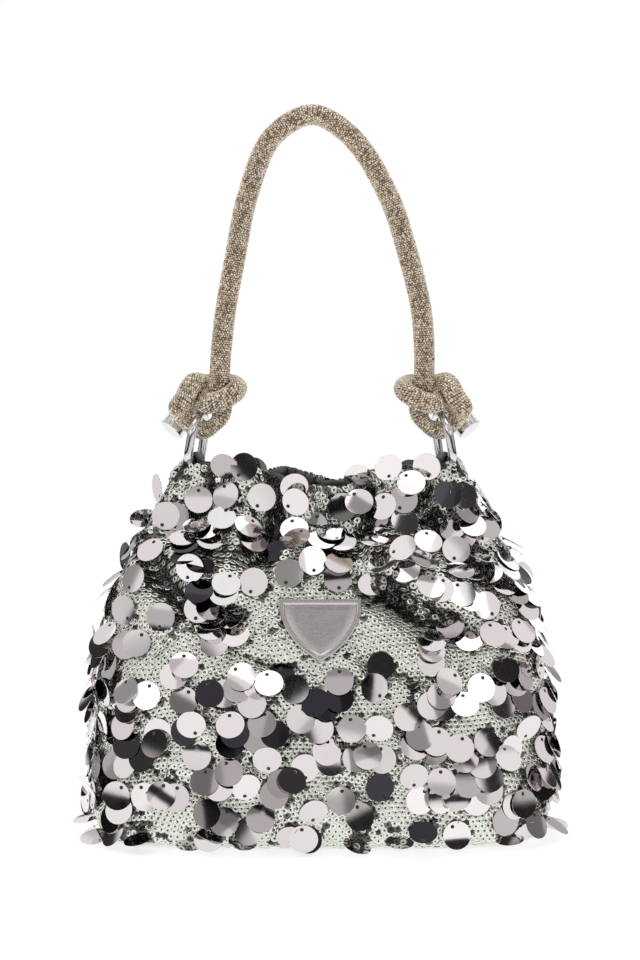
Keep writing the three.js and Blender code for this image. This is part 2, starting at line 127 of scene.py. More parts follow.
def mesh_object(name, points, faces, smooth=True):
    """A mesh object from points in millimetres and an array of faces that all have n corners."""
    points = np.asarray(points, float).reshape(-1, 3) * MM
    faces = np.asarray(faces, np.int32)
    count, corners = faces.shape
    mesh = bpy.data.meshes.new(name)
    mesh.vertices.add(len(points))
    mesh.vertices.foreach_set("co", points.ravel())
    mesh.loops.add(count * corners)
    mesh.loops.foreach_set("vertex_index", faces.ravel())
    mesh.polygons.add(count)
    mesh.polygons.foreach_set("loop_start", np.arange(count, dtype=np.int32) * corners)
    mesh.polygons.foreach_set("use_smooth", np.broadcast_to(np.asarray(smooth, np.uint8), (count,)))
    mesh.update(calc_edges=True)
    made = bpy.data.objects.new(name, mesh)
    bpy.context.scene.collection.objects.link(made)
    return made


def dress(piece, material):
    piece.data.materials.append(material)
    return piece


def crisp(piece, degrees=35):
    """Keeps the shading of faces that meet at a sharp angle apart."""
    piece.data.set_sharp_from_angle(angle=math.radians(degrees))


def lattice(rows, columns, wrap_rows=False, wrap_columns=False):
    """Quads between the points of a grid that is stored row by row."""
    row, column = np.meshgrid(
        np.arange(rows if wrap_rows else rows - 1),
        np.arange(columns if wrap_columns else columns - 1),
        indexing="ij",
    )
    below, above = row * columns, (row + 1) % rows * columns
    after = (column + 1) % columns
    return np.stack([below + column, below + after, above + after, above + column], -1).reshape(-1, 4)


def circle(radius, height, sides, turn=0.0):
    """Points of a level circle round the z axis."""
    angle = np.linspace(0, 2 * math.pi, sides, endpoint=False) + turn
    return np.stack([radius * np.cos(angle), radius * np.sin(angle), np.full(sides, height)], -1)


def lathe(profile, sides, closed=False):
    """Points and quads of a profile of (radius, height) turned about the z axis."""
    points = np.concatenate([circle(radius, height, sides) for radius, height in profile])
    return points, lattice(len(profile), sides, closed, True)


def unit(vectors):
    return vectors / np.maximum(np.linalg.norm(vectors, axis=-1, keepdims=True), 1e-9)


def smoothstep(low, high, value):
    share = np.clip((value - low) / (high - low), 0, 1)
    return share * share * (3 - 2 * share)


def smooth_table(rows, column, at):
    """A table's column read by a smooth curve through its rows, which start with their position."""
    x, y = rows[:, 0], rows[:, column]
    slope = np.gradient(y, x)
    at = np.clip(at, x[0], x[-1])
    i = np.clip(np.searchsorted(x, at) - 1, 0, len(x) - 2)
    width = x[i + 1] - x[i]
    t = (at - x[i]) / width
    start = (1 + 2 * t) * (1 - t) ** 2 * y[i] + t * (1 - t) ** 2 * width * slope[i]
    end = t * t * (3 - 2 * t) * y[i + 1] + t * t * (t - 1) * width * slope[i + 1]
    return start + end


def wave_noise(seed, wavelength, octaves=3):
    """A smooth random function of two coordinates in millimetres, roughly between -1 and 1."""
    source = np.random.default_rng(seed)
    waves = []
    for octave in range(octaves):
        for _ in range(5):
            turn = source.uniform(0, 2 * math.pi)
            pitch = 2 * math.pi / (wavelength * source.uniform(0.7, 1.4)) * 1.9**octave
            phase = source.uniform(0, 6.28)
            waves.append((math.cos(turn) * pitch, math.sin(turn) * pitch, phase, 0.6**octave))
    total = sum(size for _, _, _, size in waves) * 0.45

    def read(x, y):
        return sum(size * np.sin(a * x + b * y + phase) for a, b, phase, size in waves) / total

    return read


# ---- Copies of a small shape ------------------------------------------------------------------

# A shape is its points, its faces and which of its faces are shaded smooth. A place is an array of
# middles and three arrays of unit vectors: across, up and out.


def stamp(points, centre, across, up, out):
    """The shape's points at each place."""
    along_across = points[None, :, 0:1] * across[:, None]
    along_up = points[None, :, 1:2] * up[:, None]
    along_out = points[None, :, 2:3] * out[:, None]
    return centre[:, None] + along_across + along_up + along_out


def stamped_object(name, stamped, shape, material, tone=None):
    """A piece from a shape's stamped points, with a tone for each copy that its material reads."""
    points, faces, smooth = shape
    copies = len(stamped)
    quads = faces[None] + np.arange(copies)[:, None, None] * len(points)
    piece = mesh_object(name, stamped, quads.reshape(-1, faces.shape[1]), np.tile(smooth, copies))
    if tone is not None:
        attribute = piece.data.attributes.new("tone", "FLOAT", "POINT")
        attribute.data.foreach_set("value", np.repeat(tone, len(points)).astype(np.float32))
    return dress(piece, material)


def tilt(across, up, out, lean, roll):
    """Leans the axes back about across, then rolls them about up. Angles in radians."""
    lean, roll = lean[:, None], roll[:, None]
    leant_up = up * np.cos(lean) + out * np.sin(lean)
    leant_out = out * np.cos(lean) - up * np.sin(lean)
    rolled_across = across * np.cos(roll) - leant_out * np.sin(roll)
    return rolled_across, leant_up, leant_out * np.cos(roll) + across * np.sin(roll)


def spin(across, up, angle):
    angle = angle[:, None]
    return across * np.cos(angle) + up * np.sin(angle), up * np.cos(angle) - across * np.sin(angle)


# ---- The pouch's surface --------------------------------------------------------------------


def outline(height):
    """The half width, the half depth and the exponent of the pouch's section at a height."""
    width = HALF_WIDTH * smooth_table(SECTIONS, 1, height)
    depth = HALF_DEPTH * smooth_table(SECTIONS, 2, height)
    return width, depth, 2 / smooth_table(SECTIONS, 3, height)


def quarter_turns(height):
    """The angles that split a quarter of a section into equal lengths."""
    width, depth, power = outline(height)
    turn = np.linspace(0, math.pi / 2, 400)
    x, y = width * np.sin(turn) ** power, depth * np.cos(turn) ** power
    length = np.concatenate([[0], np.cumsum(np.hypot(np.diff(x), np.diff(y)))])
    return np.interp(np.linspace(0, length[-1], QUARTER + 1), length, turn)


def base_surface():
    """The unfolded pouch as an array of rows, columns and x, y, z."""
    grid = np.zeros((ROWS + 1, COLUMNS, 3))
    column = np.arange(COLUMNS)
    quarter, step = column // QUARTER, column % QUARTER
    from_middle = np.where(quarter % 2 == 0, step, QUARTER - step)
    right = np.where(quarter < 2, 1, -1)
    back = np.where((quarter == 1) | (quarter == 2), 1, -1)
    rough_x = EDGE_REACH * right * from_middle / QUARTER
    top = np.where(back > 0, smooth_table(BACK_EDGE, 1, rough_x), smooth_table(FRONT_EDGE, 1, rough_x))
    for row in range(ROWS + 1):
        height = FOOT + (top - FOOT) * row / ROWS
        turn = quarter_turns(height.mean())[from_middle]
        width, depth, power = outline(height)
        grid[row, :, 0] = right * width * np.sin(turn) ** power
        grid[row, :, 1] = back * depth * np.cos(turn) ** power
        grid[row, :, 2] = height
    return grid


def grid_normals(grid):
    around = np.roll(grid, -1, axis=1) - np.roll(grid, 1, axis=1)
    return unit(np.cross(around, np.gradient(grid, axis=0)))


# Folds of the walls: points along the fold as (x, z), half width, depth. A negative depth is a ridge.
FRONT_FOLDS = [
    ([(-25, 186), (-22, 158), (-32, 126)], 5.5, 9.0),
    ([(-96, 150), (-66, 122), (-34, 113)], 7.0, 8.0),
    ([(20, 132), (46, 117), (74, 106)], 7.5, 9.0),
    ([(17, 186), (24, 160), (14, 140)], 5.0, 6.5),
    ([(47, 186), (52, 164), (74, 140)], 5.0, 5.5),
    ([(-50, 186), (-56, 166), (-82, 142)], 5.0, 5.0),
    ([(-64, 84), (-44, 72), (-20, 66)], 3.2, 3.6),
    ([(-60, 70), (-40, 58), (-12, 55)], 3.2, 3.2),
    ([(14, 98), (34, 88), (60, 84)], 3.4, 3.6),
    ([(-40, 98), (-22, 90), (0, 86)], 3.4, 2.8),
    ([(30, 66), (58, 52), (84, 48)], 3.6, 3.0),
    ([(-84, 44), (-60, 32), (-40, 30)], 4.0, 2.6),
    ([(-2, 40), (20, 30), (44, 34)], 4.0, 2.6),
    ([(-38, 184), (-40, 165), (-46, 148)], 7.0, -3.5),
    ([(34, 184), (38, 165), (40, 140)], 7.0, -4.0),
    ([(-70, 132), (-46, 124), (-30, 122)], 8.0, -3.5),
    ([(24, 146), (46, 132), (74, 122)], 8.0, -3.5),
]
BACK_FOLDS = [
    ([(-30, 186), (-24, 156), (-40, 122)], 5.5, 8.0),
    ([(4, 186), (8, 160), (-4, 130)], 5.0, 7.0),
    ([(38, 186), (34, 158), (54, 124)], 5.5, 8.0),
    ([(-92, 140), (-60, 116), (-30, 112)], 7.0, 7.5),
    ([(18, 120), (50, 110), (86, 128)], 7.0, 7.5),
    ([(-60, 84), (-30, 72), (0, 76)], 3.6, 3.2),
    ([(20, 86), (48, 70), (80, 66)], 3.6, 3.4),
    ([(-70, 48), (-40, 38), (-10, 42)], 4.0, 2.8),
    ([(16, 44), (46, 34), (76, 40)], 4.0, 2.6),
    ([(-14, 184), (-12, 160), (-20, 140)], 7.0, -3.5),
    ([(22, 184), (22, 160), (26, 140)], 7.0, -3.5),
]
MOUTH_START = 180  # a fold that starts above this height is at full depth from its start


def fold_depth(folds, x, z):
    """How far the folds push the surface inwards at x, z."""
    total = np.zeros_like(x)
    for line, width, depth in folds:
        distance = np.full_like(x, 1e9)
        taper = np.zeros_like(x)
        for i, ((x0, z0), (x1, z1)) in enumerate(zip(line[:-1], line[1:])):
            dx, dz = x1 - x0, z1 - z0
            share = np.clip(((x - x0) * dx + (z - z0) * dz) / (dx * dx + dz * dz), 0, 1)
            here = np.hypot(x - x0 - share * dx, z - z0 - share * dz)
            along = (i + share) / (len(line) - 1)
            fade_in = np.minimum(1, 0.35 + 4 * along + (z0 > MOUTH_START))
            nearer = here < distance
            distance = np.where(nearer, here, distance)
            taper = np.where(nearer, np.minimum(1, 3.2 * (1 - along)) * fade_in, taper)
        valley = np.exp(-((distance / width) ** 2))
        shoulder = 0.35 * np.exp(-(((distance - 2 * width) / (1.1 * width)) ** 2))
        total += depth * taper * (valley - shoulder)
    return total


def near_badge(x, z, reach_x, reach_z):
    """1 behind the badge, falling to 0 outside the reach."""
    return np.exp(-(((x / reach_x) ** 2 + ((z - BADGE_Z) / reach_z) ** 2) ** 2))


def badge_plane_y(z):
    """How far forward the plane behind the badge lies at a height."""
    middle = -HALF_DEPTH * smooth_table(SECTIONS, 2, np.array([BADGE_Z]))[0]
    return middle + (z - BADGE_Z) * math.tan(BADGE_TILT)


def fold_surface(grid):
    """Pushes the gathers and folds into the plain pouch, and flattens it behind the badge."""
    x, y, z = grid[..., 0], grid[..., 1], grid[..., 2]
    normal = grid_normals(grid)
    folds = np.where(y < 0, fold_depth(FRONT_FOLDS, x, z), fold_depth(BACK_FOLDS, x, z))
    depth = folds * smoothstep(0.25, 0.8, np.abs(normal[..., 1]))
    around = np.arctan2(y, x) * 60
    gather = smoothstep(118, 178, z)
    wrinkle = wave_noise(7, 46)(around + 0.25 * z, z * 0.7)
    crease = wave_noise(11, 17, octaves=2)(around, z * 0.6)
    depth += (1.2 + 1.6 * gather) * wrinkle * smoothstep(4, 30, z)
    depth += (0.35 + 0.9 * gather) * crease * smoothstep(4, 24, z)
    moved = grid - normal * depth[..., None]
    flat = near_badge(x, z, 25, 19) * (y < 0)
    moved[..., 1] = moved[..., 1] * (1 - flat) + (badge_plane_y(z) + 0.4) * flat
    return moved, depth * (1 - flat)


SETTLE_FRAMES = 16
SETTLE_CAP = 2.8  # the furthest a point may move
CLOTH_SETTINGS = {
    "quality": 5,
    "mass": 0.3,
    "tension_stiffness": 10,
    "compression_stiffness": 10,
    "shear_stiffness": 4,
    "bending_stiffness": 0.3,
    "shrink_min": -0.05,
    "use_pressure": True,
    "uniform_pressure_force": 1.2,
    "vertex_group_mass": "held",
}


def settle(grid):
    """Lets the folded fabric settle as cloth, held at its base, at its mouth and behind the badge."""
    cloth_object = mesh_object("settling", grid, lattice(ROWS + 1, COLUMNS, wrap_columns=True))
    row = np.repeat(np.arange(ROWS + 1), COLUMNS)
    behind_badge = (near_badge(grid[..., 0], grid[..., 2], 26, 20) * (grid[..., 1] < 0)).ravel()
    held = np.where((row < 2) | (row > ROWS - 2), 1.0, behind_badge * 0.9)
    group = cloth_object.vertex_groups.new(name="held")
    for index in np.nonzero(held > 0.02)[0]:
        group.add([int(index)], float(held[index]), "REPLACE")
    cloth = cloth_object.modifiers.new("Cloth", "CLOTH")
    for name, value in CLOTH_SETTINGS.items():
        setattr(cloth.settings, name, value)
    cloth.settings.effector_weights.gravity = 0
    cloth.collision_settings.use_collision = False
    for step in range(1, SETTLE_FRAMES + 1):
        bpy.context.scene.frame_set(step)
    evaluated = cloth_object.evaluated_get(bpy.context.evaluated_depsgraph_get())
    result = np.zeros(grid.size)
    evaluated.data.vertices.foreach_get("co", result)
    mesh = cloth_object.data
    bpy.data.objects.remove(cloth_object)
    bpy.data.meshes.remove(mesh)
    bpy.context.scene.frame_set(1)
    moved = result.reshape(grid.shape) / MM - grid
    length = np.linalg.norm(moved, axis=-1, keepdims=True)
    return grid + moved * np.minimum(1, SETTLE_CAP / np.maximum(length, 1e-6))


class Surface:
    """A grid with positions and directions at any column and row between its points."""

    def __init__(self, grid):
        self.grid = grid
        self.normal = grid_normals(grid)
        self.around = unit(np.roll(grid, -1, axis=1) - np.roll(grid, 1, axis=1))

    def read(self, values, column, row):
        column = np.asarray(column, float) % COLUMNS
        row = np.clip(np.asarray(row, float), 0, ROWS - 1e-6)
        c0, r0 = np.floor(column).astype(int), np.floor(row).astype(int)
        c1 = (c0 + 1) % COLUMNS
        across, upwards = (column - c0)[..., None], (row - r0)[..., None]
        low = values[r0, c0] * (1 - across) + values[r0, c1] * across
        high = values[r0 + 1, c0] * (1 - across) + values[r0 + 1, c1] * across
        return low * (1 - upwards) + high * upwards

    def point(self, column, row):
        return self.read(self.grid, column, row)

    def frame(self, column, row):
        """Directions round, up and out of the surface."""
        out = unit(self.read(self.normal, column, row))
        across = self.read(self.around, column, row)
        across = unit(across - out * np.sum(across * out, -1, keepdims=True))
        return across, np.cross(out, across), out


# ---- Quarters of the pouch --------------------------------------------------------------------


def quarter_of(column):
    """The number in QUARTER_NAMES of the quarter that each column is in."""
    return (np.floor(column) // QUARTER).astype(int) % 4


def quarter_columns(quarter):
    return np.arange(quarter * QUARTER, (quarter + 1) * QUARTER + 1) % COLUMNS


def face_of(quarter):
    return QUARTER_NAMES[quarter].split("_")[0]


def join_quarter(piece):
    """Bakes a quarter's piece's placement into its mesh."""
    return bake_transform(piece)


# ---- Small sequins ----------------------------------------------------------------------------

SEQUIN_RADIUS, SEQUIN_HOLE, SEQUIN_DISH = 2.08, 0.46, 0.07
SEQUIN_FACET, SEQUIN_THICKNESS = 1.35, 0.12
SEQUIN_PITCH, SEQUIN_ROW = 3.2, 2.6
SEQUIN_SIDES = 10


def sequin_shape():
    """A cupped ring, whose first two bands of faces are its front."""
    profile = [
        (SEQUIN_RADIUS, 0.0),
        (SEQUIN_FACET, SEQUIN_DISH),
        (SEQUIN_HOLE, 0.02),
        (SEQUIN_HOLE, 0.02 - SEQUIN_THICKNESS),
        (SEQUIN_RADIUS, -SEQUIN_THICKNESS),
    ]
    points, faces = lathe(profile, SEQUIN_SIDES, closed=True)
    return points, faces, np.arange(len(faces)) < 2 * SEQUIN_SIDES


def sequin_places(surface):
    """Columns and rows of every small sequin, in rows of even pitch that follow the fabric."""
    bend = wave_noise(21, 90, octaves=2)
    column = np.arange(COLUMNS * 3) / 3
    middle = surface.grid[:, [0, QUARTER, 2 * QUARTER, 3 * QUARTER]]
    height = np.linalg.norm(np.diff(middle, axis=0), axis=-1).sum(0).mean()
    count = int(height / SEQUIN_ROW)
    found = []
    for k in range(count):
        row = (k + 0.6) * ROWS / count
        drift = 1.6 * bend(column * 3.1, row * 2.2) * min(1, k / 4, (count - k) / 4)
        line = surface.point(column, row + drift)
        step = np.linalg.norm(np.roll(line, -1, axis=0) - line, axis=-1)
        length = np.concatenate([[0], np.cumsum(step)])
        number = int(length[-1] / SEQUIN_PITCH)
        start = (0.5 * (k % 2) + random.uniform(-0.08, 0.08)) * length[-1] / number
        at = (start + np.arange(number) * length[-1] / number) % length[-1]
        where = np.interp(at, length, np.arange(len(column) + 1) / 3)
        found.append(np.stack([where, np.interp(where, column, row + drift, period=COLUMNS)], -1))
    return np.concatenate(found).T


def beside_discs(centre, discs):
    """True for the sequins just right of a disc, where its shadow is painted on them."""
    shaded = np.zeros(len(centre), bool)
    for middle, right, upwards in discs:
        spot = middle + right * 2.0 + upwards * 0.6
        near = np.abs(centre - spot).max(1) < DISC_RADIUS + 1
        shaded[near] |= np.linalg.norm(centre[near] - spot, axis=1) < DISC_RADIUS + 0.4
    return shaded


def build_sequins(surface, fold, material, discs):
    """The small sequins, in a lower and an upper piece for each quarter of the pouch."""
    column, row = sequin_places(surface)
    centre = surface.point(column, row)
    across, up, out = surface.frame(column, row)
    mess = smoothstep(0.1, 0.9, wave_noise(31, 60)(centre[:, 0], centre[:, 2] + 0.8 * centre[:, 1]))
    mess = np.clip(mess + smoothstep(110, 165, centre[:, 2]) * 0.6, 0, 1)
    number = len(centre)
    lean = -0.2 + random.normal(0, 1, number) * (0.06 + 0.26 * mess)
    roll = random.normal(0, 1, number) * (0.05 + 0.26 * mess)
    across, up, out = tilt(across, up, out, lean, roll)
    centre = centre + out * (0.45 + random.uniform(0, 0.35, number) * (0.3 + mess))[:, None]
    tone = random.uniform(0.3, 1, number)
    # Painted shade: sequins in the folds, in the painted shadow beside the discs, and more often where the
    # fabric is messy and high on the body, get a near-black tone.
    shade = smoothstep(1.0, 5.5, surface.read(fold, column, row)[:, 0])
    shade = np.maximum(shade, 0.5 * beside_discs(centre, discs))
    dark = random.uniform(0, 1, number) < 0.02 + 0.26 * mess**2 + 0.72 * shade
    tone = np.where(dark, random.uniform(0, 0.2, number), tone)
    shape = sequin_shape()
    for quarter, name in enumerate(QUARTER_NAMES):
        for level, in_level in (("_lower", row <= 0.5 * ROWS), ("_upper", row > 0.5 * ROWS)):
            chosen = (quarter_of(column) == quarter) & in_level
            stamped = stamp(shape[0], centre[chosen], across[chosen], up[chosen], out[chosen])
            label = name + level + "_sequins"
            piece = stamped_object(label, stamped, shape, material, tone[chosen])
            join_quarter(piece)


# ---- Large discs ------------------------------------------------------------------------------

DISC_RADIUS, DISC_HOLE, DISC_OFFSET, DISC_THICKNESS = 7.0, 0.95, 4.85, 0.22
DISC_SIDES, DISC_RINGS = 36, 5
LOWEST_HOLE = 5.5
GROUND_GAP = 0.8
DISC_DRAWS = 9000
# How many discs each face gets at most, and the least distance between their holes.
FRONT_DISCS, FRONT_SPACING = 540, 4.7
BACK_DISCS, BACK_SPACING = 450, 4.9


def disc_shape():
    """A thin disc hung from an off-centre hole at the origin, with its middle below it."""
    edge = circle(DISC_RADIUS, 0, DISC_SIDES, math.pi / 2) - [0, DISC_OFFSET, 0]
    hole = circle(DISC_HOLE, 0, DISC_SIDES, math.pi / 2)
    inwards = np.linspace(0, 1, DISC_RINGS + 1)
    rings = []
    for shares, height in ((inwards, DISC_THICKNESS / 2), (inwards[::-1], -DISC_THICKNESS / 2)):
        rings += [edge * (1 - share) + hole * share + [0, 0, height] for share in shares]
    level = np.repeat(np.arange(len(rings)), DISC_SIDES)
    smooth = (level != DISC_RINGS) & (level != len(rings) - 1)
    return np.concatenate(rings), lattice(len(rings), DISC_SIDES, True, True), smooth


def thread_shape():
    """The knot of thread that fills a disc's hole, as a low dome that runs down to the fabric."""
    profile = [(0, 0.1), (0.45, 0.07), (0.76, -0.04), (0.86, -0.2), (0.3, -0.7), (0.14, -1.3), (0, -1.3)]
    points, faces = lathe(profile, 10)
    return points, faces[:, ::-1], np.ones(len(faces), bool)


# Heights of the loose bands that the discs are sewn in, and how full each band is.
DISC_BANDS = [
    (10, 1.0), (34, 0.9), (54, 1.0), (78, 1.0), (104, 0.5), (131, 1.3), (155, 1.4), (176, 1.0),
]
# Where the discs get painted shade, a near-black tone: x, z and reach.
PAINTED_SHADE_SPOTS = [
    (-62, 130, 15), (1, 77, 13), (-105, 34, 12), (-78, 8, 12), (-12, 5, 10), (60, 60, 9),
    (-25, 150, 8),
]
# Discs with a place of their own on the front: x and z of the hole, how far each is turned from
# hanging in degrees, and its tone from dark 0 to bright 1, where the dark tones are painted shade.
SEWN_DISCS = [
    (-51, 180, 100, 0.9), (-45, 181, 195, 0.14), (-40, 182, 150, 0.9), (-12, 174, 200, 0.3),
    (20, 175, 160, 0.9), (33, 181, 185, 0.9), (42, 180, 20, 0.5), (55, 180, 170, 0.6),
    (-58, 167, 5, 0.95), (-46, 163, -10, 0.95), (-69, 157, -12, 0.6), (-54, 152, 8, 0.4),
    (-33, 125, 180, 1.0), (-17, 129, 165, 1.0), (-4, 134, 190, 0.8), (9, 127, 190, 0.12),
    (11, 150, 0, 0.3), (-1, 160, -25, 0.9), (-14, 158, 15, 0.25), (-20, 146, 5, 0.03),
    (42, 162, -5, 1.0), (52, 152, 10, 0.7), (36, 143, 80, 0.9), (26, 150, -20, 0.8), (63, 156, 30, 0.4),
    (66, 129, 25, 1.0), (63, 114, 0, 0.14), (77, 140, -30, 0.8), (88, 128, -40, 0.7),
    (-66, 143, 10, 0.03), (-56, 139, -15, 0.03), (-59, 129, 5, 0.03), (-50, 121, -40, 0.13),
    (-38, 109, 0, 0.9), (30, 85, 180, 1.0), (-19, 90, 0, 0.03), (24, 99, 15, 0.6), (9, 88, 0, 0.13),
    (-3, 79, 10, 0.03), (3, 76, -15, 0.03),
]


def disc_density(x, z, side, seed):
    """How likely a disc is to be sewn at a place on the front or the back."""
    drift = wave_noise(seed, 120, octaves=1)(x, z) * 7
    density = np.zeros_like(x)
    for height, share in DISC_BANDS:
        density += share * np.exp(-(((z + drift - height) / 7.0) ** 2))
    patch = 0.62 + 0.55 * wave_noise(seed + 1, 48, octaves=2)(x, z)
    return density * np.clip(patch, 0.12, 1.2) + side * 0.55


def sewn_places(surface):
    """Columns and rows of the discs with a place of their own."""
    column, row = np.meshgrid(np.arange(-QUARTER, QUARTER, 0.5), np.arange(2, ROWS - 1, 0.5))
    places = np.stack([column.ravel(), row.ravel()], -1)
    points = surface.point(*places.T)
    return np.array(
        [places[np.argmin(np.hypot(points[:, 0] - x, points[:, 2] - z))] for x, z, _, _ in SEWN_DISCS]
    )


def disc_places(surface, seed, wanted, spacing, back):
    """Columns and rows of the discs on one face, no two drawn ones closer than the spacing."""
    source = np.random.default_rng(seed)
    chosen = np.zeros((0, 2)) if back else sewn_places(surface)
    points = surface.point(*chosen.T)
    for _ in range(DISC_DRAWS):
        column = source.uniform(-QUARTER, QUARTER) + (2 * QUARTER if back else 0)
        row = source.uniform(1.5, ROWS - 1.5)
        point = surface.point([column], [row])[0]
        side = smoothstep(0.80, 0.93, abs(point[0]) / HALF_WIDTH) * smoothstep(6, 20, point[2])
        chance = disc_density(point[:1], point[2:], side, seed)[0]
        if source.uniform() > chance or point[2] < LOWEST_HOLE:
            continue
        if len(points) and np.min(np.linalg.norm(points - point, axis=1)) < spacing:
            continue
        chosen = np.vstack([chosen, [column, row]])
        points = np.vstack([points, point])
        if len(chosen) >= wanted:
            break
    return chosen


def hanging_axes(surface, column, row):
    """Across, up and out for discs that hang from the surface but turn less than it in its folds."""
    calm = Surface(base_surface()).frame(column, row)[2]
    _, rise, facing = surface.frame(column, row)
    out = unit(0.3 * facing + 0.7 * calm)
    across = unit(np.cross(rise, out))
    return across, np.cross(out, across), out


def height_over(tree, spots):
    """The least height of the spots over the fabric."""
    heights = []
    for spot in spots:
        found, normal, _, _ = tree.find_nearest(Vector(spot))
        heights.append((Vector(spot) - found).dot(normal))
    return min(heights)


def heights_inside(spots, centre, facing):
    """How high the spots that lie over a disc are above it."""
    flat = spots - centre
    high = flat @ facing
    across = np.linalg.norm(flat - high[:, None] * facing, axis=1)
    return high[across < DISC_RADIUS * 1.02]


LIFT_TRIES = 24
LIFT_LEAN, LIFT_RAISE = 0.018, 0.11  # how far each try swings a disc out and raises its hole
GROUND_LEAN, LEAST_LEAN = 0.06, -1.3
# What a disc must clear to be kept: the ground, the fabric and the other discs.
KEPT_OVER_GROUND, KEPT_OVER_FABRIC, KEPT_OVER_DISCS = 0.4, 0.45, -0.15


def lift_discs(tree, hole, across, up, out):
    """Swings each disc outwards until it clears the fabric, the ground and the discs sewn before it."""
    rim = circle(DISC_RADIUS, 0, 14)[:, :2] - [0, DISC_OFFSET]
    samples = np.vstack([[0, 0], [0, -DISC_OFFSET], rim])
    placed = []
    kept = np.ones(len(hole), bool)
    for index in np.argsort(hole[:, 2]):
        raised, lean, tries, height, clear = 1.1, 0.0, 0, -9.0, 9.0
        wanted = 1.0 + 0.5 * smoothstep(100, 135, hole[index, 2])
        near = [p for p in placed if np.linalg.norm(p[0] - hole[index]) < 2.3 * DISC_RADIUS]
        while tries < LIFT_TRIES:
            up_now = unit(up[index] * math.cos(lean) + out[index] * math.sin(lean))
            out_now = unit(np.cross(across[index], up_now))
            start = hole[index] + out[index] * raised
            spots = start + samples[:, :1] * across[index] + samples[:, 1:] * up_now
            if spots[:, 2].min() < GROUND_GAP and lean > LEAST_LEAN:
                lean -= GROUND_LEAN
                continue
            height, clear = height_over(tree, spots), 9.0
            for centre, facing, edge in near:
                over = heights_inside(spots, centre, facing)
                under = heights_inside(edge, spots[1], out_now)
                clear = min(clear, over.min(initial=9), -under.max(initial=-9))
            if height > wanted and clear > 0.3:
                break
            lean -= LIFT_LEAN
            raised += LIFT_RAISE
            tries += 1
        above_ground = spots[:, 2].min() > KEPT_OVER_GROUND
        kept[index] = above_ground and height > KEPT_OVER_FABRIC and clear > KEPT_OVER_DISCS
        kept[index] |= index < len(SEWN_DISCS)
        hole[index], up[index], out[index] = start, up_now, out_now
        if kept[index]:
            placed.append((spots[1], out_now, spots[2:]))
    return kept


CAP_REGION = (58, 168)  # the caps lie further out and higher than this, behind the mouth


def in_the_way(hole, up):
    """True for discs that would lie over the badge or touch a rope cap behind the mouth."""
    middle = hole - DISC_OFFSET * up
    level = np.abs(middle[:, 2] - BADGE_Z) < BADGE_HEIGHT / 2 + 0.75 * DISC_RADIUS
    beside = np.abs(middle[:, 0]) < BADGE_HALF + 0.85 * DISC_RADIUS
    over_badge = level & beside & (middle[:, 1] < 0)
    near_cap = (hole[:, 2] > CAP_REGION[1]) & (np.abs(hole[:, 0]) > CAP_REGION[0]) & (hole[:, 1] > 0)
    return over_badge | near_cap


def disc_tones(sewn, valley):
    """Each disc's tone: darker with painted shade in the folds, and near black as painted shade in the
    listed patches.
    """
    tone = random.uniform(0.02, 1, len(sewn)) - 0.22 * smoothstep(1.0, 5.0, valley)
    for x, z, reach in PAINTED_SHADE_SPOTS:
        near = np.hypot(sewn[:, 0] - x, sewn[:, 2] - z - 5) < reach
        tone = np.where(near & (tone < 0.5), 0.03, tone)
    tone[: len(SEWN_DISCS)] = [shade for _, _, _, shade in SEWN_DISCS]
    return tone


def build_discs(surface, fold, material, thread_material):
    """The large discs and the threads that hold them, a piece of each for each quarter."""
    front = disc_places(surface, 41, FRONT_DISCS, FRONT_SPACING, back=False)
    back = disc_places(surface, 43, BACK_DISCS, BACK_SPACING, back=True)
    column, row = np.concatenate([front, back]).T
    column = column % COLUMNS
    number = len(column)
    sewn = surface.point(column, row)
    across, up, out = hanging_axes(surface, column, row)
    turned = random.normal(0, 0.32, number)
    flipped = random.uniform(0, 1, number) < 0.14
    turned = np.where(flipped, math.pi + random.normal(0, 0.5, number), turned)
    turned[: len(SEWN_DISCS)] = np.radians([turn for _, _, turn, _ in SEWN_DISCS])
    across, up = spin(across, up, turned)
    x, z = sewn[:, 0], sewn[:, 2]
    lean = 0.10 * wave_noise(51, 60)(x, z) + random.normal(0, 0.10, number)
    roll = 0.16 * wave_noise(53, 50)(x, z) + random.normal(0, 0.12, number)
    across, up, out = tilt(across, up, out, lean, roll)
    corners = [Vector(point) for point in surface.grid.reshape(-1, 3)]
    tree = BVHTree.FromPolygons(corners, lattice(ROWS + 1, COLUMNS, wrap_columns=True).tolist())
    hole = sewn.copy()
    kept = lift_discs(tree, hole, across, up, out) & ~in_the_way(hole, up)
    shape, threads = disc_shape(), thread_shape()
    local_x, local_y = shape[0][None, :, 0], shape[0][None, :, 1] + DISC_OFFSET
    bend_x = random.normal(0, 0.0022, number) + 0.001
    bend_y = random.normal(0, 0.0022, number)
    dish = bend_x[:, None] * local_x**2 + bend_y[:, None] * local_y**2
    discs = stamp(shape[0], hole, across, up, out) + dish[..., None] * out[:, None]
    knots = stamp(threads[0], hole, across, up, out)
    tone = disc_tones(sewn, surface.read(fold, column, row)[:, 0])
    for quarter, name in enumerate(QUARTER_NAMES):
        chosen = (quarter_of(column) == quarter) & kept
        piece = stamped_object(
            name + "_discs", discs[chosen], shape, material, tone[chosen]
        )
        crisp(piece)
        join_quarter(piece)
        cord = stamped_object(name + "_disc_threads", knots[chosen], threads, thread_material)
        join_quarter(cord)
    # The kept discs' middles and axes, for the painted shadow on the sequins beside them.
    level, _, outwards = surface.frame(column, row)
    middle = sewn - DISC_OFFSET * up
    return list(zip(middle[kept], level[kept], np.cross(outwards, level)[kept]))


# ---- Tubes ----------------------------------------------------------------------------------


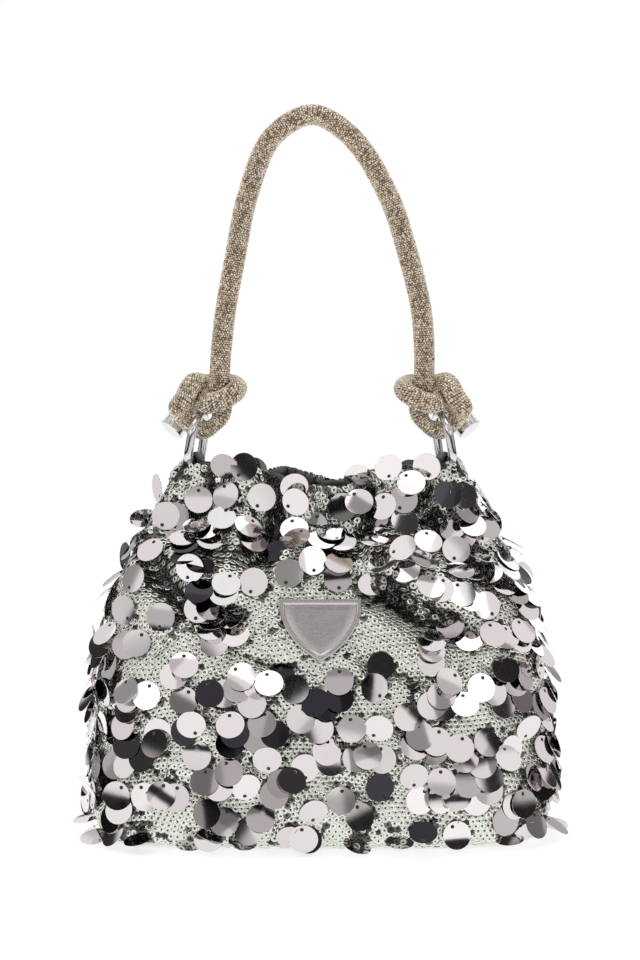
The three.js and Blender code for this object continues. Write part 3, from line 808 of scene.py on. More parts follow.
def path_frames(path, closed=False):
    """Directions along and across a path, turning as little as possible."""
    if closed:
        along = unit(np.roll(path, -1, axis=0) - np.roll(path, 1, axis=0))
    else:
        along = unit(np.gradient(path, axis=0))
    side = np.zeros_like(path)
    side[0] = unit(np.cross(along[0], [0.3, 0.9, 0.2]))
    for i in range(1, len(path)):
        kept = side[i - 1] - along[i] * np.dot(side[i - 1], along[i])
        side[i] = kept / np.linalg.norm(kept)
    return along, side, np.cross(along, side)


def tube(path, radius, sides, closed=False):
    """Points and quads of a round tube along a path, with flat ends if it is open."""
    _, side, other = path_frames(path, closed)
    radius = np.broadcast_to(radius, (len(path),))[:, None, None]
    round_path = circle(1, 0, sides)
    rings = path[:, None] + radius * (
        round_path[:, :1] * side[:, None] + round_path[:, 1:2] * other[:, None]
    )
    if not closed:
        ends = [np.repeat(path[i, None, None], sides, 1) for i in (0, -1)]
        rings = np.concatenate([ends[0], rings, ends[1]])
    return rings.reshape(-1, 3), lattice(len(rings), sides, closed, True)


def lengths(path):
    """How far along the path each of its points is."""
    return np.concatenate([[0], np.cumsum(np.linalg.norm(np.diff(path, axis=0), axis=1))])


def spline(points, spacing, closed=False):
    """A centripetal Catmull-Rom curve through the points, sampled at an even spacing."""
    points = np.asarray(points, float)
    if closed:
        padded = np.vstack([points[-1], points, points[:2]])
    else:
        padded = np.vstack([2 * points[0] - points[1], points, 2 * points[-1] - points[-2]])
    t = np.linspace(0, 1, 24, endpoint=False)[:, None]
    pieces = []
    for i in range(len(padded) - 3):
        p0, p1, p2, p3 = padded[i : i + 4]
        d0, d1, d2 = (max(np.linalg.norm(b - a), 1e-8) ** 0.5 for a, b in ((p0, p1), (p1, p2), (p2, p3)))
        m1 = ((p1 - p0) / d0 - (p2 - p0) / (d0 + d1) + (p2 - p1) / d1) * d1
        m2 = ((p2 - p1) / d1 - (p3 - p1) / (d1 + d2) + (p3 - p2) / d2) * d1
        square = (3 * (p2 - p1) - 2 * m1 - m2) * t**2
        pieces.append(p1 + m1 * t + square + (2 * (p1 - p2) + m1 + m2) * t**3)
    dense = np.vstack(pieces + [padded[-2:-1]])
    length = lengths(dense)
    at = np.linspace(0, length[-1], int(round(length[-1] / spacing)) + 1)
    even = np.stack([np.interp(at, length, dense[:, i]) for i in range(3)], -1)
    return even[:-1] if closed else even


# ---- The rope handle ------------------------------------------------------------------------

# The knot's path on the left ring, as x, y, z from the middle of the ring's arc.
KNOT = [
    (12, -0.5, 45), (11, -1.5, 31), (10.5, -1.5, 23), (12, 1, 16), (11, -0.5, 9), (6, 0, 4),
    (-0.5, 3, 3), (-6.5, 2.5, 7), (-9.5, -7, 14), (-6, -9, 19.5), (-2.5, -4, 26), (3, 13, 25.5),
    (9.5, 15, 25.5), (15.5, 12.5, 25.5), (19.5, -2.5, 23.5), (17, -8, 21), (11.5, -9.5, 18),
    (5.5, -8, 16.5), (1.5, -3, 17.5), (-1, 6, 17), (-5, 13.5, 12.5), (-9, 14.5, 8), (-13, 12.5, 3.5),
]
RIGHT_LEG = [2.5, 1.5, 0.5]  # the right leg's first points lie this much further out
ARCH = [
    (-47.3, 262), (-42.4, 289), (-36, 320), (-23.8, 348.5), (-4.3, 359.5), (15.4, 348.5), (33.6, 320),
    (44, 289), (50, 264),
]
ROPE_STEP = 0.9
STONE_PITCH, STONE_ROW = 1.28, 1.12
STONE_RADIUS, STONE_TABLE = 0.62, 0.36
STONE_RISE = 0.55  # how far the stones stand out of the sleeve
STONE_SEAT = 0.08  # how far their girdles are above it
# Painted shade between turns of the rope: SHADED_GAP sets how near another turn darkens the stones.
SHADED_GAP = (0.1, 2.3)  # stones with another turn of the rope this near are dark to bright
STONE_SPLITS = [0.26, 0.5, 0.74]  # where the four pieces of stones part, as shares of the rope
SLEEVE_SIDES = 28
ROW_DRIFT = 0.0035  # how far the rows of stones wind round the rope for each millimetre along it
# Turns of the handle and tilts of the ring, in degrees, that must leave room between rope and ring.
SWINGS = [
    (-55, -4), (-55, 0), (-55, 4), (-30, 0), (0, -4), (0, 0), (0, 4), (30, 0), (55, -4), (55, 0), (55, 4),
]
RING_PLAY = 0.1
LEAST_ROPE_RADIUS = 3.1


def rope_path():
    left = np.array([(x - RING_X, y, z + RING_Z) for x, y, z in KNOT])
    right = left * [-1, 1, 1]
    right[: len(RIGHT_LEG), 0] += RIGHT_LEG
    arch = np.array([(x, 0, z) for x, z in ARCH])
    return spline(np.vstack([left[::-1], arch, right]), ROPE_STEP)


def turned_about_x(points, angle, height):
    """Points turned about the x axis at a height."""
    y, z = points[:, 1], points[:, 2] - height
    turned_y = y * math.cos(angle) - z * math.sin(angle)
    turned_z = y * math.sin(angle) + z * math.cos(angle)
    return np.stack([points[:, 0], turned_y, turned_z + height], -1)


def rope_radius(path):
    """The rope's radius along its path: squeezed in the knots, and more so where it meets a ring."""
    radius = KNOT_RADIUS + (ROPE_RADIUS - KNOT_RADIUS) * smoothstep(236, 250, path[:, 2])
    for side in (-1, 1):
        for swing, ring_tilt in np.radians(SWINGS):
            ring = turned_about_x(ring_path(side, ring_tilt), swing, RING_Z)
            near = np.linalg.norm(path[:, None] - ring[None], axis=-1).min(1)
            radius = np.minimum(radius, near - RING_WIRE - STONE_RISE - RING_PLAY)
    radius = np.maximum(radius, LEAST_ROPE_RADIUS)
    return np.convolve(np.pad(radius, 3, mode="edge"), np.ones(7) / 7, mode="valid")


def stone_shape():
    """A faceted stone: a girdle, a crown and a flat table."""
    sides = 8
    points = [
        circle(STONE_RADIUS, -0.15, sides),
        circle(STONE_RADIUS, 0.05, sides),
        circle(STONE_TABLE, 0.42, sides, math.pi / sides),
        [[0, 0, 0.42]],
    ]
    faces = []
    for i in range(sides):
        j = (i + 1) % sides
        faces += [[i, j, sides + j], [i, sides + j, sides + i]]
        faces += [[sides + i, sides + j, 2 * sides + i], [sides + j, 2 * sides + j, 2 * sides + i]]
        faces += [[2 * sides + i, 2 * sides + j, 3 * sides]]
    return np.concatenate(points), np.array(faces), np.zeros(len(faces), bool)


SEEN_GAP = 9.0  # the widest gap that is measured
SAME_TURN = 15  # nearer than this along the rope is still the same turn of it


def strand_gap(spots, at, path, length, radius):
    """How far each spot on the rope is from another turn of the rope."""
    gap = np.full(len(spots), SEEN_GAP)
    for point, far, thick in zip(path[::2], length[::2], radius[::2]):
        close = (np.abs(spots - point).max(1) < SEEN_GAP) & (np.abs(at - far) > SAME_TURN)
        gap[close] = np.minimum(gap[close], np.linalg.norm(spots[close] - point, axis=1) - thick)
    return gap


def build_sleeve(path, radius, material):
    points, faces = tube(path, radius, SLEEVE_SIDES)
    sleeve = dress(mesh_object("rope_sleeve_mesh", points, faces), material)
    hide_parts("rope_sleeve")
    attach(sleeve, "handle")


def build_stones(path, radius, material):
    """The stones of the sleeve, thinned out on the inside of its bends, in four pieces."""
    along, side, other = path_frames(path)
    length = lengths(path)
    rows = int(length[-1] / STONE_ROW)
    around = int(2 * math.pi * (ROPE_RADIUS + 0.1) / STONE_PITCH)
    row, step = (values.ravel() for values in np.meshgrid(np.arange(rows), np.arange(around), indexing="ij"))
    number = len(row)
    at = (row + 0.5) * length[-1] / rows + random.normal(0, 0.10, number)
    turn = (step + 0.5 * (row % 2)) * 2 * math.pi / around + random.normal(0, 0.022, number)
    turn = turn + ROW_DRIFT * at

    def along_path(values, shift=0.0):
        return np.stack([np.interp(at + shift, length, values[:, i]) for i in range(3)], -1)

    def outwards(shift=0.0):
        cosine, sine = np.cos(turn)[:, None], np.sin(turn)[:, None]
        return unit(cosine * along_path(side, shift) + sine * along_path(other, shift))

    def surface_spot(shift=0.0):
        thick = np.interp(at + shift, length, radius) + STONE_SEAT
        return along_path(path, shift) + outwards(shift) * thick[:, None]

    centre, out, direction = surface_spot(), outwards(), unit(along_path(along))
    stretch = np.linalg.norm(surface_spot(0.4) - surface_spot(-0.4), axis=1) / 0.8
    every = np.select([stretch < 0.32, stretch < 0.66], [4, 2], 1)
    kept = (row + step) % every == 0
    across = unit(np.cross(direction, out))
    lean, roll = random.normal(0, 0.10, number), random.normal(0, 0.10, number)
    across, direction, out = tilt(across, unit(np.cross(out, across)), out, lean, roll)
    across, direction = spin(across, direction, random.uniform(0, 0.8, number))
    size = random.uniform(0.9, 1.08, number)[:, None]
    across, direction = across * size, direction * np.clip(stretch, 1, 1.5)[:, None] * size
    tone = random.uniform(0.13, 1, number)
    # Painted shade: stones close to another turn of the rope are darkened.
    tone = tone * smoothstep(*SHADED_GAP, strand_gap(centre, at, path, length, radius))
    part = np.digitize(at, length[-1] * np.array(STONE_SPLITS))
    shape = stone_shape()
    for index, name in enumerate(["left_knot", "left_leg", "right_leg", "right_knot"]):
        chosen = (part == index) & kept
        stamped = stamp(shape[0], centre[chosen], across[chosen], direction[chosen], out[chosen])
        piece = stamped_object(name + "_stones", stamped, shape, material, tone[chosen])
        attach(piece, "handle")


def rounded(points, radius, steps=4):
    """A profile with each inner corner cut back and rounded."""
    points = np.array(points, float)
    made = [points[0]]
    for before, corner, after in zip(points[:-2], points[1:-1], points[2:]):
        cut = min(radius, 0.45 * np.linalg.norm(before - corner), 0.45 * np.linalg.norm(after - corner))
        start = corner + unit(before - corner) * cut
        end = corner + unit(after - corner) * cut
        for t in np.arange(steps + 1) / steps:
            made.append(start * (1 - t) ** 2 + corner * 2 * t * (1 - t) + end * t**2)
    return np.array(made + [points[-1]])


CAP_TOP, CAP_FLOOR, CAP_CORNER = 1.8, 0.6, 0.7
CAP_AIM = 7  # steps along the rope that a cap's direction is taken over


def build_end_caps(path, material):
    bore, foot = CAP_RADIUS - CAP_WALL, CAP_TOP - CAP_LENGTH
    profile = [(0, CAP_TOP), (CAP_RADIUS, CAP_TOP), (CAP_RADIUS, foot), (bore, foot), (bore, CAP_FLOOR),
               (0, CAP_FLOOR)]
    points, faces = lathe(rounded(profile, CAP_CORNER), 48)
    for name, tip, inner in (("left", path[0], path[CAP_AIM]), ("right", path[-1], path[-1 - CAP_AIM])):
        out = unit(tip - inner)
        across = unit(np.cross(out, [0, 1, 0]))
        placed = stamp(points, tip[None], across[None], np.cross(out, across)[None], out[None])
        cap = mesh_object(name + "_rope_cap", placed, faces[:, ::-1])
        crisp(cap, 50)
        dress(cap, material)
        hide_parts(name + "_end_cap")
        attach(cap, "handle")


# ---- D-rings and tabs -----------------------------------------------------------------------

RING_STEP, RING_SIDES = 0.8, 20
TAB_LEAN = math.radians(32)
TAB_GAP = 1.1  # from the ring's wire to the middle of the tab's strip
# The strip's cross-section: distance across it, distance out of it.
TAB_SECTION = [
    (-5.6, 0.35), (-5.2, 0.6), (5.2, 0.6), (5.6, 0.35), (5.6, -0.35), (5.2, -0.6), (-5.2, -0.6),
    (-5.6, -0.35),
]
# Where its two plies run below the loop: distance outwards, distance down.
TAB_OUTER_PLY = [(2.2, 13), (2.1, 5.5)]
TAB_INNER_PLY = [(1.0, 5.5), (1.1, 13)]


def ring_axes(side):
    """The ring's up, back and out directions; side is -1 for left and +1 for right."""
    up = np.array([-side * math.sin(RING_LEAN), 0, math.cos(RING_LEAN)])
    back = np.array([-side * math.sin(RING_TURN), math.cos(RING_TURN), 0])
    back = unit(back - up * np.dot(back, up))
    return up, back, np.cross(back, up)


def ring_outline():
    """The ring's D: an arc, a rounded corner, the bar and the other corner."""
    arc = circle(RING_ARC, 0, 48)[:25, :2]
    corner = circle(RING_CORNER, 0, 24)[12:19, :2]
    left = corner + [RING_CORNER - RING_ARC, RING_CORNER - RING_SIDE]
    half_bar = 0.5 * (RING_ARC - RING_CORNER)
    bar = [[-half_bar, -RING_SIDE], [0, -RING_SIDE], [half_bar, -RING_SIDE]]
    return np.vstack([arc, left, bar, left[::-1] * [-1, 1]])


def ring_bar(side):
    return np.array([side * RING_X, 0, RING_Z]) - RING_SIDE * ring_axes(side)[0]


def ring_path(side, ring_tilt=0.0):
    """The middle of the ring's wire, with the ring tilted about its bar by an angle in radians."""
    up, back, out = ring_axes(side)
    tilted_up = up * math.cos(ring_tilt) + out * math.sin(ring_tilt)
    outline_points = ring_outline()
    rise = outline_points[:, 1:] + RING_SIDE
    return spline(ring_bar(side) + outline_points[:, :1] * back + rise * tilted_up, RING_STEP, closed=True)


def build_ring(name, side, metal):
    points, faces = tube(ring_path(side), RING_WIRE, RING_SIDES, closed=True)
    ring = dress(mesh_object(name + "_ring", points, faces), metal)
    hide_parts(name + "_d_ring")
    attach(ring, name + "_ring")


def build_tab(name, side, material):
    """A folded strip round the ring's bar, with its two plies sewn together under it."""
    down = np.array([side * math.sin(TAB_LEAN), 0, -math.cos(TAB_LEAN)])
    outward = np.array([side * math.cos(TAB_LEAN), 0, math.sin(TAB_LEAN)])
    turn = np.radians(np.linspace(-38, 218, 26))
    loop = [(RING_WIRE + TAB_GAP) * (math.cos(a) * outward - math.sin(a) * down) for a in turn]
    outer, inner = ([a * outward + b * down for a, b in ply] for ply in (TAB_OUTER_PLY, TAB_INNER_PLY))
    path = spline(np.array(outer + loop + inner), 0.7)
    width_axis = unit(ring_axes(side)[1] * [1, 1, 0])
    thick = unit(np.cross(unit(np.gradient(path, axis=0)), width_axis))
    rings = np.stack([ring_bar(side) + path + w * width_axis + h * thick for w, h in TAB_SECTION], 1)
    faces = lattice(len(path), len(TAB_SECTION), wrap_columns=True)
    tab = dress(mesh_object(name + "_tab_loop", rings, faces), material)
    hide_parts(name + "_ring_tab")
    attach(tab, "bag")


# ---- The badge ------------------------------------------------------------------------------

# The badge's levels from its back to its face: how far the outline is pulled in, and the height.
BADGE_LEVELS = [
    (0.0, 0.0), (0.0, 1.75), (0.12, 2.0), (0.4, 2.2), (1.9, 2.2), (2.15, 2.1), (2.75, 1.55), (3.0, 1.5),
]
BADGE_MIDDLE = 2.5  # height above the middle where the rings of its back and face close


def shield(inset, steps=14):
    """The badge's outline, pulled in by an inset: a straight top, short cheeks and a blunt foot."""
    half = BADGE_HALF - inset
    top = BADGE_HEIGHT / 2 - inset
    foot = -BADGE_HEIGHT / 2 + 1.3 * inset
    cheek = top - BADGE_CHEEK + 0.6 * inset
    t = np.linspace(0, 1, steps)[:, None]
    bend = np.array([0.8 * half, foot + 0.34 * (cheek - foot)])
    curve = np.array([half, cheek]) * (1 - t) ** 2 + bend * 2 * t * (1 - t) + np.array([0, foot]) * t**2
    top_edge = np.linspace(-half, half, 9)[:, None] * [1, 0] + [0, top]
    cheeks = [[half, height] for height in np.linspace(top, cheek, 4)[1:-1]]
    right = np.vstack([cheeks, curve])
    return np.vstack([top_edge, right, right[::-1][1:] * [-1, 1]])


def build_badge(material):
    outlines = [np.insert(shield(inset), 2, height, axis=1) for inset, height in BADGE_LEVELS]
    middle = np.array([0, BADGE_MIDDLE, BADGE_LEVELS[-1][1]])
    face = [middle + (outlines[-1] - middle) * share for share in (0.7, 0.35, 0.0)]
    back = np.tile([0, BADGE_MIDDLE, 0], (len(outlines[0]), 1))
    rings = [back] + outlines + face
    flat = np.concatenate(rings)
    faces = np.roll(lattice(len(rings), len(back), wrap_columns=True)[:, ::-1], 1, axis=1)
    out = np.array([0, -math.cos(BADGE_TILT), math.sin(BADGE_TILT)])
    up = np.array([0, math.sin(BADGE_TILT), math.cos(BADGE_TILT)])
    place = np.array([0, badge_plane_y(BADGE_Z), BADGE_Z]) + out * BADGE_STANDOFF
    points = place + flat[:, :1] * [1, 0, 0] + flat[:, 1:2] * up + flat[:, 2:3] * out
    badge = mesh_object("badge", points, faces)
    crisp(badge, 20)
    dress(badge, material)
    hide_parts("badge_plate")
    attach(badge, "front_wall")


# ---- Fabric, lining, facings, pocket and base ---------------------------------------------------


def sheet(name, points, material, thickness):
    """A closed sheet from an array of rows, columns and x, y, z, which reaches inwards from it."""
    rows, columns = points.shape[:2]
    normal = unit(np.cross(np.gradient(points, axis=1), np.gradient(points, axis=0)))
    inner = points - normal * thickness
    index = np.arange(rows * columns).reshape(rows, columns)
    rim = np.concatenate([index[0, :-1], index[:-1, -1], index[-1, :0:-1], index[:0:-1, 0]])
    after = np.roll(rim, -1)
    wall = np.stack([after, rim, rim + index.size, after + index.size], -1)
    front = lattice(rows, columns)
    faces = np.concatenate([front, front[:, ::-1] + index.size, wall])
    both = np.concatenate([points.reshape(-1, 3), inner.reshape(-1, 3)])
    return dress(mesh_object(name, both, faces), material)


def build_fabric(surface, material):
    for quarter, name in enumerate(QUARTER_NAMES):
        points = surface.grid[:, quarter_columns(quarter)]
        piece = sheet(name + "_fabric", points, material, FABRIC_THICKNESS)
        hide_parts(face_of(quarter) + "_panel", "gusset_strip")
        join_quarter(piece)


LINING_THICKNESS, FACING_THICKNESS, POCKET_THICKNESS = 0.6, 0.8, 0.7
HELD_ROWS = 6  # rows under the mouth that keep the fabric's folds


def softened(grid):
    """The grid with its small folds smoothed out, apart from the rows under the mouth."""
    soft = grid.copy()
    for _ in range(6):
        soft[1:-1] = (soft[:-2] + soft[2:] + 2 * soft[1:-1]) / 4
        soft = (np.roll(soft, 1, axis=1) + np.roll(soft, -1, axis=1) + 2 * soft) / 4
    soft[-HELD_ROWS:] = grid[-HELD_ROWS:]
    return soft


def facing_band(surface, inner, columns):
    """The band inside the mouth, rolled over the mouth's edge and down behind its first row."""
    band, mouth = inner[ROWS - FACING_ROWS :, columns], surface.grid[-1, columns]
    rise = np.array([0, 0, 1.1])
    roll = [band[-1] * (1 - t) + mouth * t + rise * math.sin(math.pi * t) for t in (0.2, 0.4, 0.6, 0.8)]
    tucked = surface.grid[-2, columns] + surface.normal[-2, columns] * 0.35
    return np.concatenate([band, roll, [mouth + [0, 0, 0.1]], [tucked]])


def build_lining(surface, lining, facing):
    inner = softened(surface.grid - surface.normal * LINING_DEPTH)
    for quarter, name in enumerate(QUARTER_NAMES):
        columns = quarter_columns(quarter)
        low = inner[1 : ROWS - FACING_ROWS + 1, columns][:, ::-1]
        piece = sheet(name + "_lining", low, lining, LINING_THICKNESS)
        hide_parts(face_of(quarter) + "_lining", "lining_strip")
        join_quarter(piece)
        band = facing_band(surface, inner, columns)
        piece = sheet(name + "_facing", band[:, ::-1], facing, FACING_THICKNESS)
        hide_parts(face_of(quarter) + "_facing")
        join_quarter(piece)
    base_sheet("base_lining", 5.0, 0.93, LINING_DEPTH, LINING_THICKNESS, lining)


POCKET_COLUMNS = 24  # the pocket's half width, in columns of the surface
POCKET_LOW, POCKET_HIGH = 22, 54  # its rows
POCKET_GAP = 1.4  # from the lining to the pocket's edge
POCKET_FULLNESS = 1.6  # how much further its middle stands off at the top
POCKET_HEM = 0.5


def build_pocket(surface, lining):
    """A flat pocket on the back lining, in two halves, with a hem along its top."""
    middle = 2 * QUARTER
    rows = np.linspace(POCKET_LOW, POCKET_HIGH, 34)
    for quarter, name, far in ((1, "right", middle - POCKET_COLUMNS), (2, "left", middle + POCKET_COLUMNS)):
        column, row = np.meshgrid(np.linspace(min(middle, far), max(middle, far), 25), rows)
        points = surface.point(column, row)
        _, _, out = surface.frame(column, row)
        edge = np.minimum(1, np.abs(column - far) / 3)
        hem = POCKET_HEM * np.exp(-(((row - rows[-3]) / 1.2) ** 2))
        depth = LINING_DEPTH + POCKET_GAP + POCKET_FULLNESS * edge * row / ROWS + hem
        points = points - out * depth[..., None]
        pocket = sheet(name + "_lining_pocket", points[:, ::-1], lining, POCKET_THICKNESS)
        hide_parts("inner_pocket")
        join_quarter(pocket)


BASE_SQUARENESS = 3.6
BASE_REACH = (100, 44)  # half the field of sequins that the base is cut from
BASE_SEQUIN_HEIGHT = 0.42
BASE_SIDES, BASE_RINGS = 96, 12


def base_sheet(name, height, share, inset, thickness, material):
    """A flat sheet that closes the base."""
    turn = circle(1, 0, BASE_SIDES)[:, :2]
    round_base = np.sign(turn) * np.abs(turn) ** (2 / BASE_SQUARENESS)
    edge = round_base * [HALF_WIDTH * share - inset, HALF_DEPTH * (share - 0.07) - inset]
    rings = [np.insert(edge * s, 2, height, axis=1) for s in np.linspace(0.02, 1, BASE_RINGS)]
    rings += [ring + [0, 0, thickness] for ring in rings[::-1]]
    faces = lattice(len(rings), BASE_SIDES, True, True)[:, ::-1]
    piece = dress(mesh_object(name, np.concatenate(rings), faces), material)
    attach(piece, "bag")


def build_base(ground, sequin_material):
    base_sheet("base_fabric", 0.9, 0.862, 0, FABRIC_THICKNESS, ground)
    reach, depth = BASE_REACH
    x, y = np.meshgrid(np.arange(-reach, reach, SEQUIN_PITCH), np.arange(-depth, depth, SEQUIN_ROW))
    x = x + 0.5 * SEQUIN_PITCH * (np.arange(len(y)) % 2)[:, None]
    across_base, along_base = HALF_WIDTH * SECTIONS[0, 1], HALF_DEPTH * SECTIONS[0, 2]
    inside = np.abs(x / across_base) ** BASE_SQUARENESS + np.abs(y / along_base) ** BASE_SQUARENESS < 1
    number = inside.sum()
    centre = np.stack([x[inside], y[inside], np.full(number, BASE_SEQUIN_HEIGHT)], -1)
    across, up, out = (np.tile(axis, (number, 1)) for axis in ([1.0, 0, 0], [0, -1.0, 0], [0, 0, -1.0]))
    across, up, out = tilt(across, up, out, random.normal(0, 0.02, number), random.normal(0, 0.02, number))
    shape = sequin_shape()
    stamped = stamp(shape[0], centre, across, up, out)
    tone = random.uniform(0, 1, number)
    piece = stamped_object("base_sequins", stamped, shape, sequin_material, tone)
    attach(piece, "bag")


# ---- Materials ------------------------------------------------------------------------------


class Nodes:
    """Writes the nodes of a material or a world as plain calls."""

    def __init__(self, owner):
        owner.use_nodes = True
        self.tree = owner.node_tree
        self.tree.nodes.clear()

    def link(self, source, target):
        self.tree.links.new(source, target)

    def put(self, target, value):
        if isinstance(value, bpy.types.NodeSocket):
            self.link(value, target)
        elif target.type == "RGBA":
            target.default_value = (*value, 1)
        else:
            target.default_value = value

    def node(self, kind, inputs=None, **settings):
        made = self.tree.nodes.new("ShaderNode" + kind)
        for key, value in settings.items():
            setattr(made, key, value)
        for key, value in (inputs or {}).items():
            self.put(made.inputs[key], value)
        return made

    def math(self, operation, a, b=0.0):
        return self.node("Math", {0: a, 1: b}, operation=operation).outputs[0]

    def scaled(self, value, factor, start):
        return self.math("ADD", self.math("MULTIPLY", value, factor), start)

    def mix(self, share, a, b, blend_type="MIX"):
        made = self.node("Mix", data_type="RGBA", blend_type=blend_type)
        for index, value in ((0, share), (6, a), (7, b)):
            self.put(made.inputs[index], value)
        return made.outputs[2]

    def ramp(self, value, stops):
        made = self.node("ValToRGB", {0: value})
        elements = made.color_ramp.elements
        while len(elements) < len(stops):
            elements.new(0.5)
        for element, (position, colour) in zip(elements, stops):
            element.position = position
            element.color = (*colour, 1)
        return made.outputs[0]

    def place(self):
        return self.node("TexCoord").outputs["Object"]

    def noise(self, scale, detail=3.0, stretch=None):
        vector = self.place()
        if stretch:
            vector = self.node("Mapping", {"Vector": vector, "Scale": stretch}).outputs[0]
        return self.node("TexNoise", {"Vector": vector, "Scale": scale, "Detail": detail}).outputs[0]

    def cells(self, scale):
        return self.node("TexVoronoi", {"Vector": self.place(), "Scale": scale}).outputs["Distance"]

    def bump(self, height, strength, distance):
        return self.node("Bump", {"Height": height, "Strength": strength, "Distance": distance}).outputs[0]


class Finish(Nodes):
    """A material with one surface shader."""

    def __init__(self, name):
        self.material = bpy.data.materials.new(name)
        super().__init__(self.material)
        self.output = self.node("OutputMaterial")
        self.shader = self.node("BsdfPrincipled")
        self.link(self.shader.outputs[0], self.output.inputs["Surface"])

    def tone(self):
        return self.node("Attribute", attribute_name="tone").outputs["Fac"]

    def set(self, **inputs):
        for key, value in inputs.items():
            self.put(self.shader.inputs[key.replace("_", " ")], value)
        return self.material


def sequin_finish():
    n = Finish("small_sequins")
    # Tones under 0.2 are near black: the painted shade that build_sequins gives.
    colour = n.ramp(
        n.tone(),
        [(0, (0.05, 0.05, 0.05)), (0.2, (0.22, 0.22, 0.20)), (0.3, (0.80, 0.84, 0.75)),
         (1, (0.93, 0.94, 0.88))],
    )
    rough = n.scaled(n.noise(900, 2), 0.12, 0.14)
    grain = n.bump(n.noise(420, 2), 0.25, 0.0003)
    return n.set(Base_Color=colour, Metallic=0.8, Roughness=rough, Normal=grain)


def disc_finish():
    n = Finish("large_discs")
    # Tones under 0.08 are near black and carry the painted shade of disc_tones.
    colour = n.ramp(
        n.tone(),
        [(0, (0.03, 0.028, 0.034)), (0.07, (0.05, 0.045, 0.055)), (0.08, (0.40, 0.37, 0.38)),
         (0.17, (0.54, 0.50, 0.51)), (0.19, (0.72, 0.68, 0.69)), (1, (0.84, 0.81, 0.81))],
    )
    rough = n.scaled(n.noise(1.0, 2, (2600, 2600, 160)), 0.05, 0.03)
    return n.set(Base_Color=colour, Metallic=1.0, Roughness=rough)


def ground_finish():
    n = Finish("sequin_ground")
    weave = n.cells(900.0)
    colour = n.ramp(
        weave, [(0, (0.10, 0.10, 0.09)), (0.6, (0.035, 0.036, 0.032)), (1, (0.015, 0.015, 0.014))]
    )
    return n.set(Base_Color=colour, Roughness=0.7, Normal=n.bump(weave, 0.7, 0.0006))


def lining_finish():
    n = Finish("satin_lining")
    lines = n.node("Mapping", {"Vector": n.place(), "Scale": (700, 700, 1100)}).outputs[0]
    twill = n.node(
        "TexWave", {"Vector": lines, "Scale": 1.0, "Distortion": 0.6}, bands_direction="DIAGONAL"
    ).outputs[1]
    colour = n.mix(n.noise(25, 3), (0.032, 0.031, 0.034), (0.062, 0.060, 0.066))
    return n.set(Base_Color=colour, Roughness=0.42, Sheen_Weight=0.4, Normal=n.bump(twill, 0.35, 0.0004))


def leather_finish():
    n = Finish("tab_leather")
    colour = n.mix(n.noise(140, 3), (0.020, 0.018, 0.017), (0.05, 0.045, 0.042))
    rough = n.scaled(n.noise(60, 2), 0.2, 0.25)
    return n.set(Base_Color=colour, Roughness=rough, Normal=n.bump(n.cells(1300.0), 0.4, 0.0003))


def polished_finish():
    n = Finish("polished_steel")
    rough = n.scaled(n.noise(90, 4), 0.07, 0.05)
    grain = n.bump(n.noise(500, 2), 0.02, 0.0002)
    return n.set(Base_Color=(0.74, 0.74, 0.75), Metallic=1.0, Roughness=rough, Normal=grain)


def satin_finish():
    n = Finish("satin_steel")
    brushed = n.noise(1.0, 3, (160, 2400, 2400))
    colour = n.mix(n.noise(60, 3), (0.54, 0.52, 0.515), (0.66, 0.645, 0.635))
    rough = n.scaled(brushed, 0.16, 0.16)
    return n.set(Base_Color=colour, Metallic=1.0, Roughness=rough, Normal=n.bump(brushed, 0.12, 0.0002))


def dark_magnet_finish():
    n = Finish("dark_magnet")
    grain = n.bump(n.noise(800, 3), 0.3, 0.0003)
    return n.set(Base_Color=(0.08, 0.08, 0.085), Metallic=0.8, Roughness=0.5, Normal=grain)


def board_finish():
    n = Finish("fibre_board")
    colour = n.mix(n.noise(160, 4), (0.20, 0.18, 0.155), (0.30, 0.275, 0.24))
    return n.set(Base_Color=colour, Roughness=0.9, Normal=n.bump(n.noise(600, 4), 0.4, 0.0005))


def sleeve_finish():
    n = Finish("sleeve_mesh")
    cells = n.cells(850.0)
    colour = n.ramp(cells, [(0, (0.20, 0.15, 0.10)), (1, (0.07, 0.05, 0.035))])
    return n.set(Base_Color=colour, Roughness=0.6, Normal=n.bump(cells, 0.6, 0.0006))


def stone_finish():
    n = Finish("rope_stones")
    # Tones under 0.13 come only from the painted shade between turns of the rope.
    colour = n.ramp(
        n.tone(),
        [(0, (0.025, 0.016, 0.010)), (0.05, (0.16, 0.10, 0.06)), (0.13, (0.32, 0.23, 0.15)),
         (0.3, (0.62, 0.52, 0.39)), (0.75, (0.80, 0.71, 0.57)), (1, (0.94, 0.89, 0.80))],
    )
    return n.set(Base_Color=colour, Metallic=0.7, Roughness=0.24, Specular_IOR_Level=0.8)


def thread_finish():
    n = Finish("sewing_thread")
    strand = n.noise(1.0, 2, (3000, 3000, 900))
    # The knot is real thread; its near-black colour is painted shade in the disc's hole.
    return n.set(Base_Color=n.mix(strand, (0.018, 0.018, 0.019), (0.06, 0.058, 0.06)), Roughness=0.7)


def cord_finish():
    n = Finish("cord_core")
    braid = n.noise(700, 3)
    colour = n.mix(braid, (0.55, 0.52, 0.46), (0.75, 0.72, 0.65))
    return n.set(Base_Color=colour, Roughness=0.9, Normal=n.bump(braid, 0.5, 0.0005))


def dress_cad_nodes(finishes):
    """Gives each CAD node that stays in view its finish."""
    for name, material in finishes.items():
        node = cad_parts[name]
        node.data.materials.clear()
        node.data.materials.append(material)


# ---- Stage, lights and camera ----------------------------------------------------------------

# The room that the metal reflects, as brightness by height above the horizon in degrees.
ROOM_BANDS = [
    (-90, 0.80), (-1.5, 0.80), (-1, 0.02), (4, 0.015), (4.6, 0.54), (10, 0.52), (10.5, 0.84), (25, 0.92),
    (25.6, 0.03), (29, 0.02), (29.6, 0.92), (43, 0.95), (43.8, 0.54), (48, 0.52), (49, 0.98), (72, 0.98),
    (73, 0.05), (90, 0.04),
]
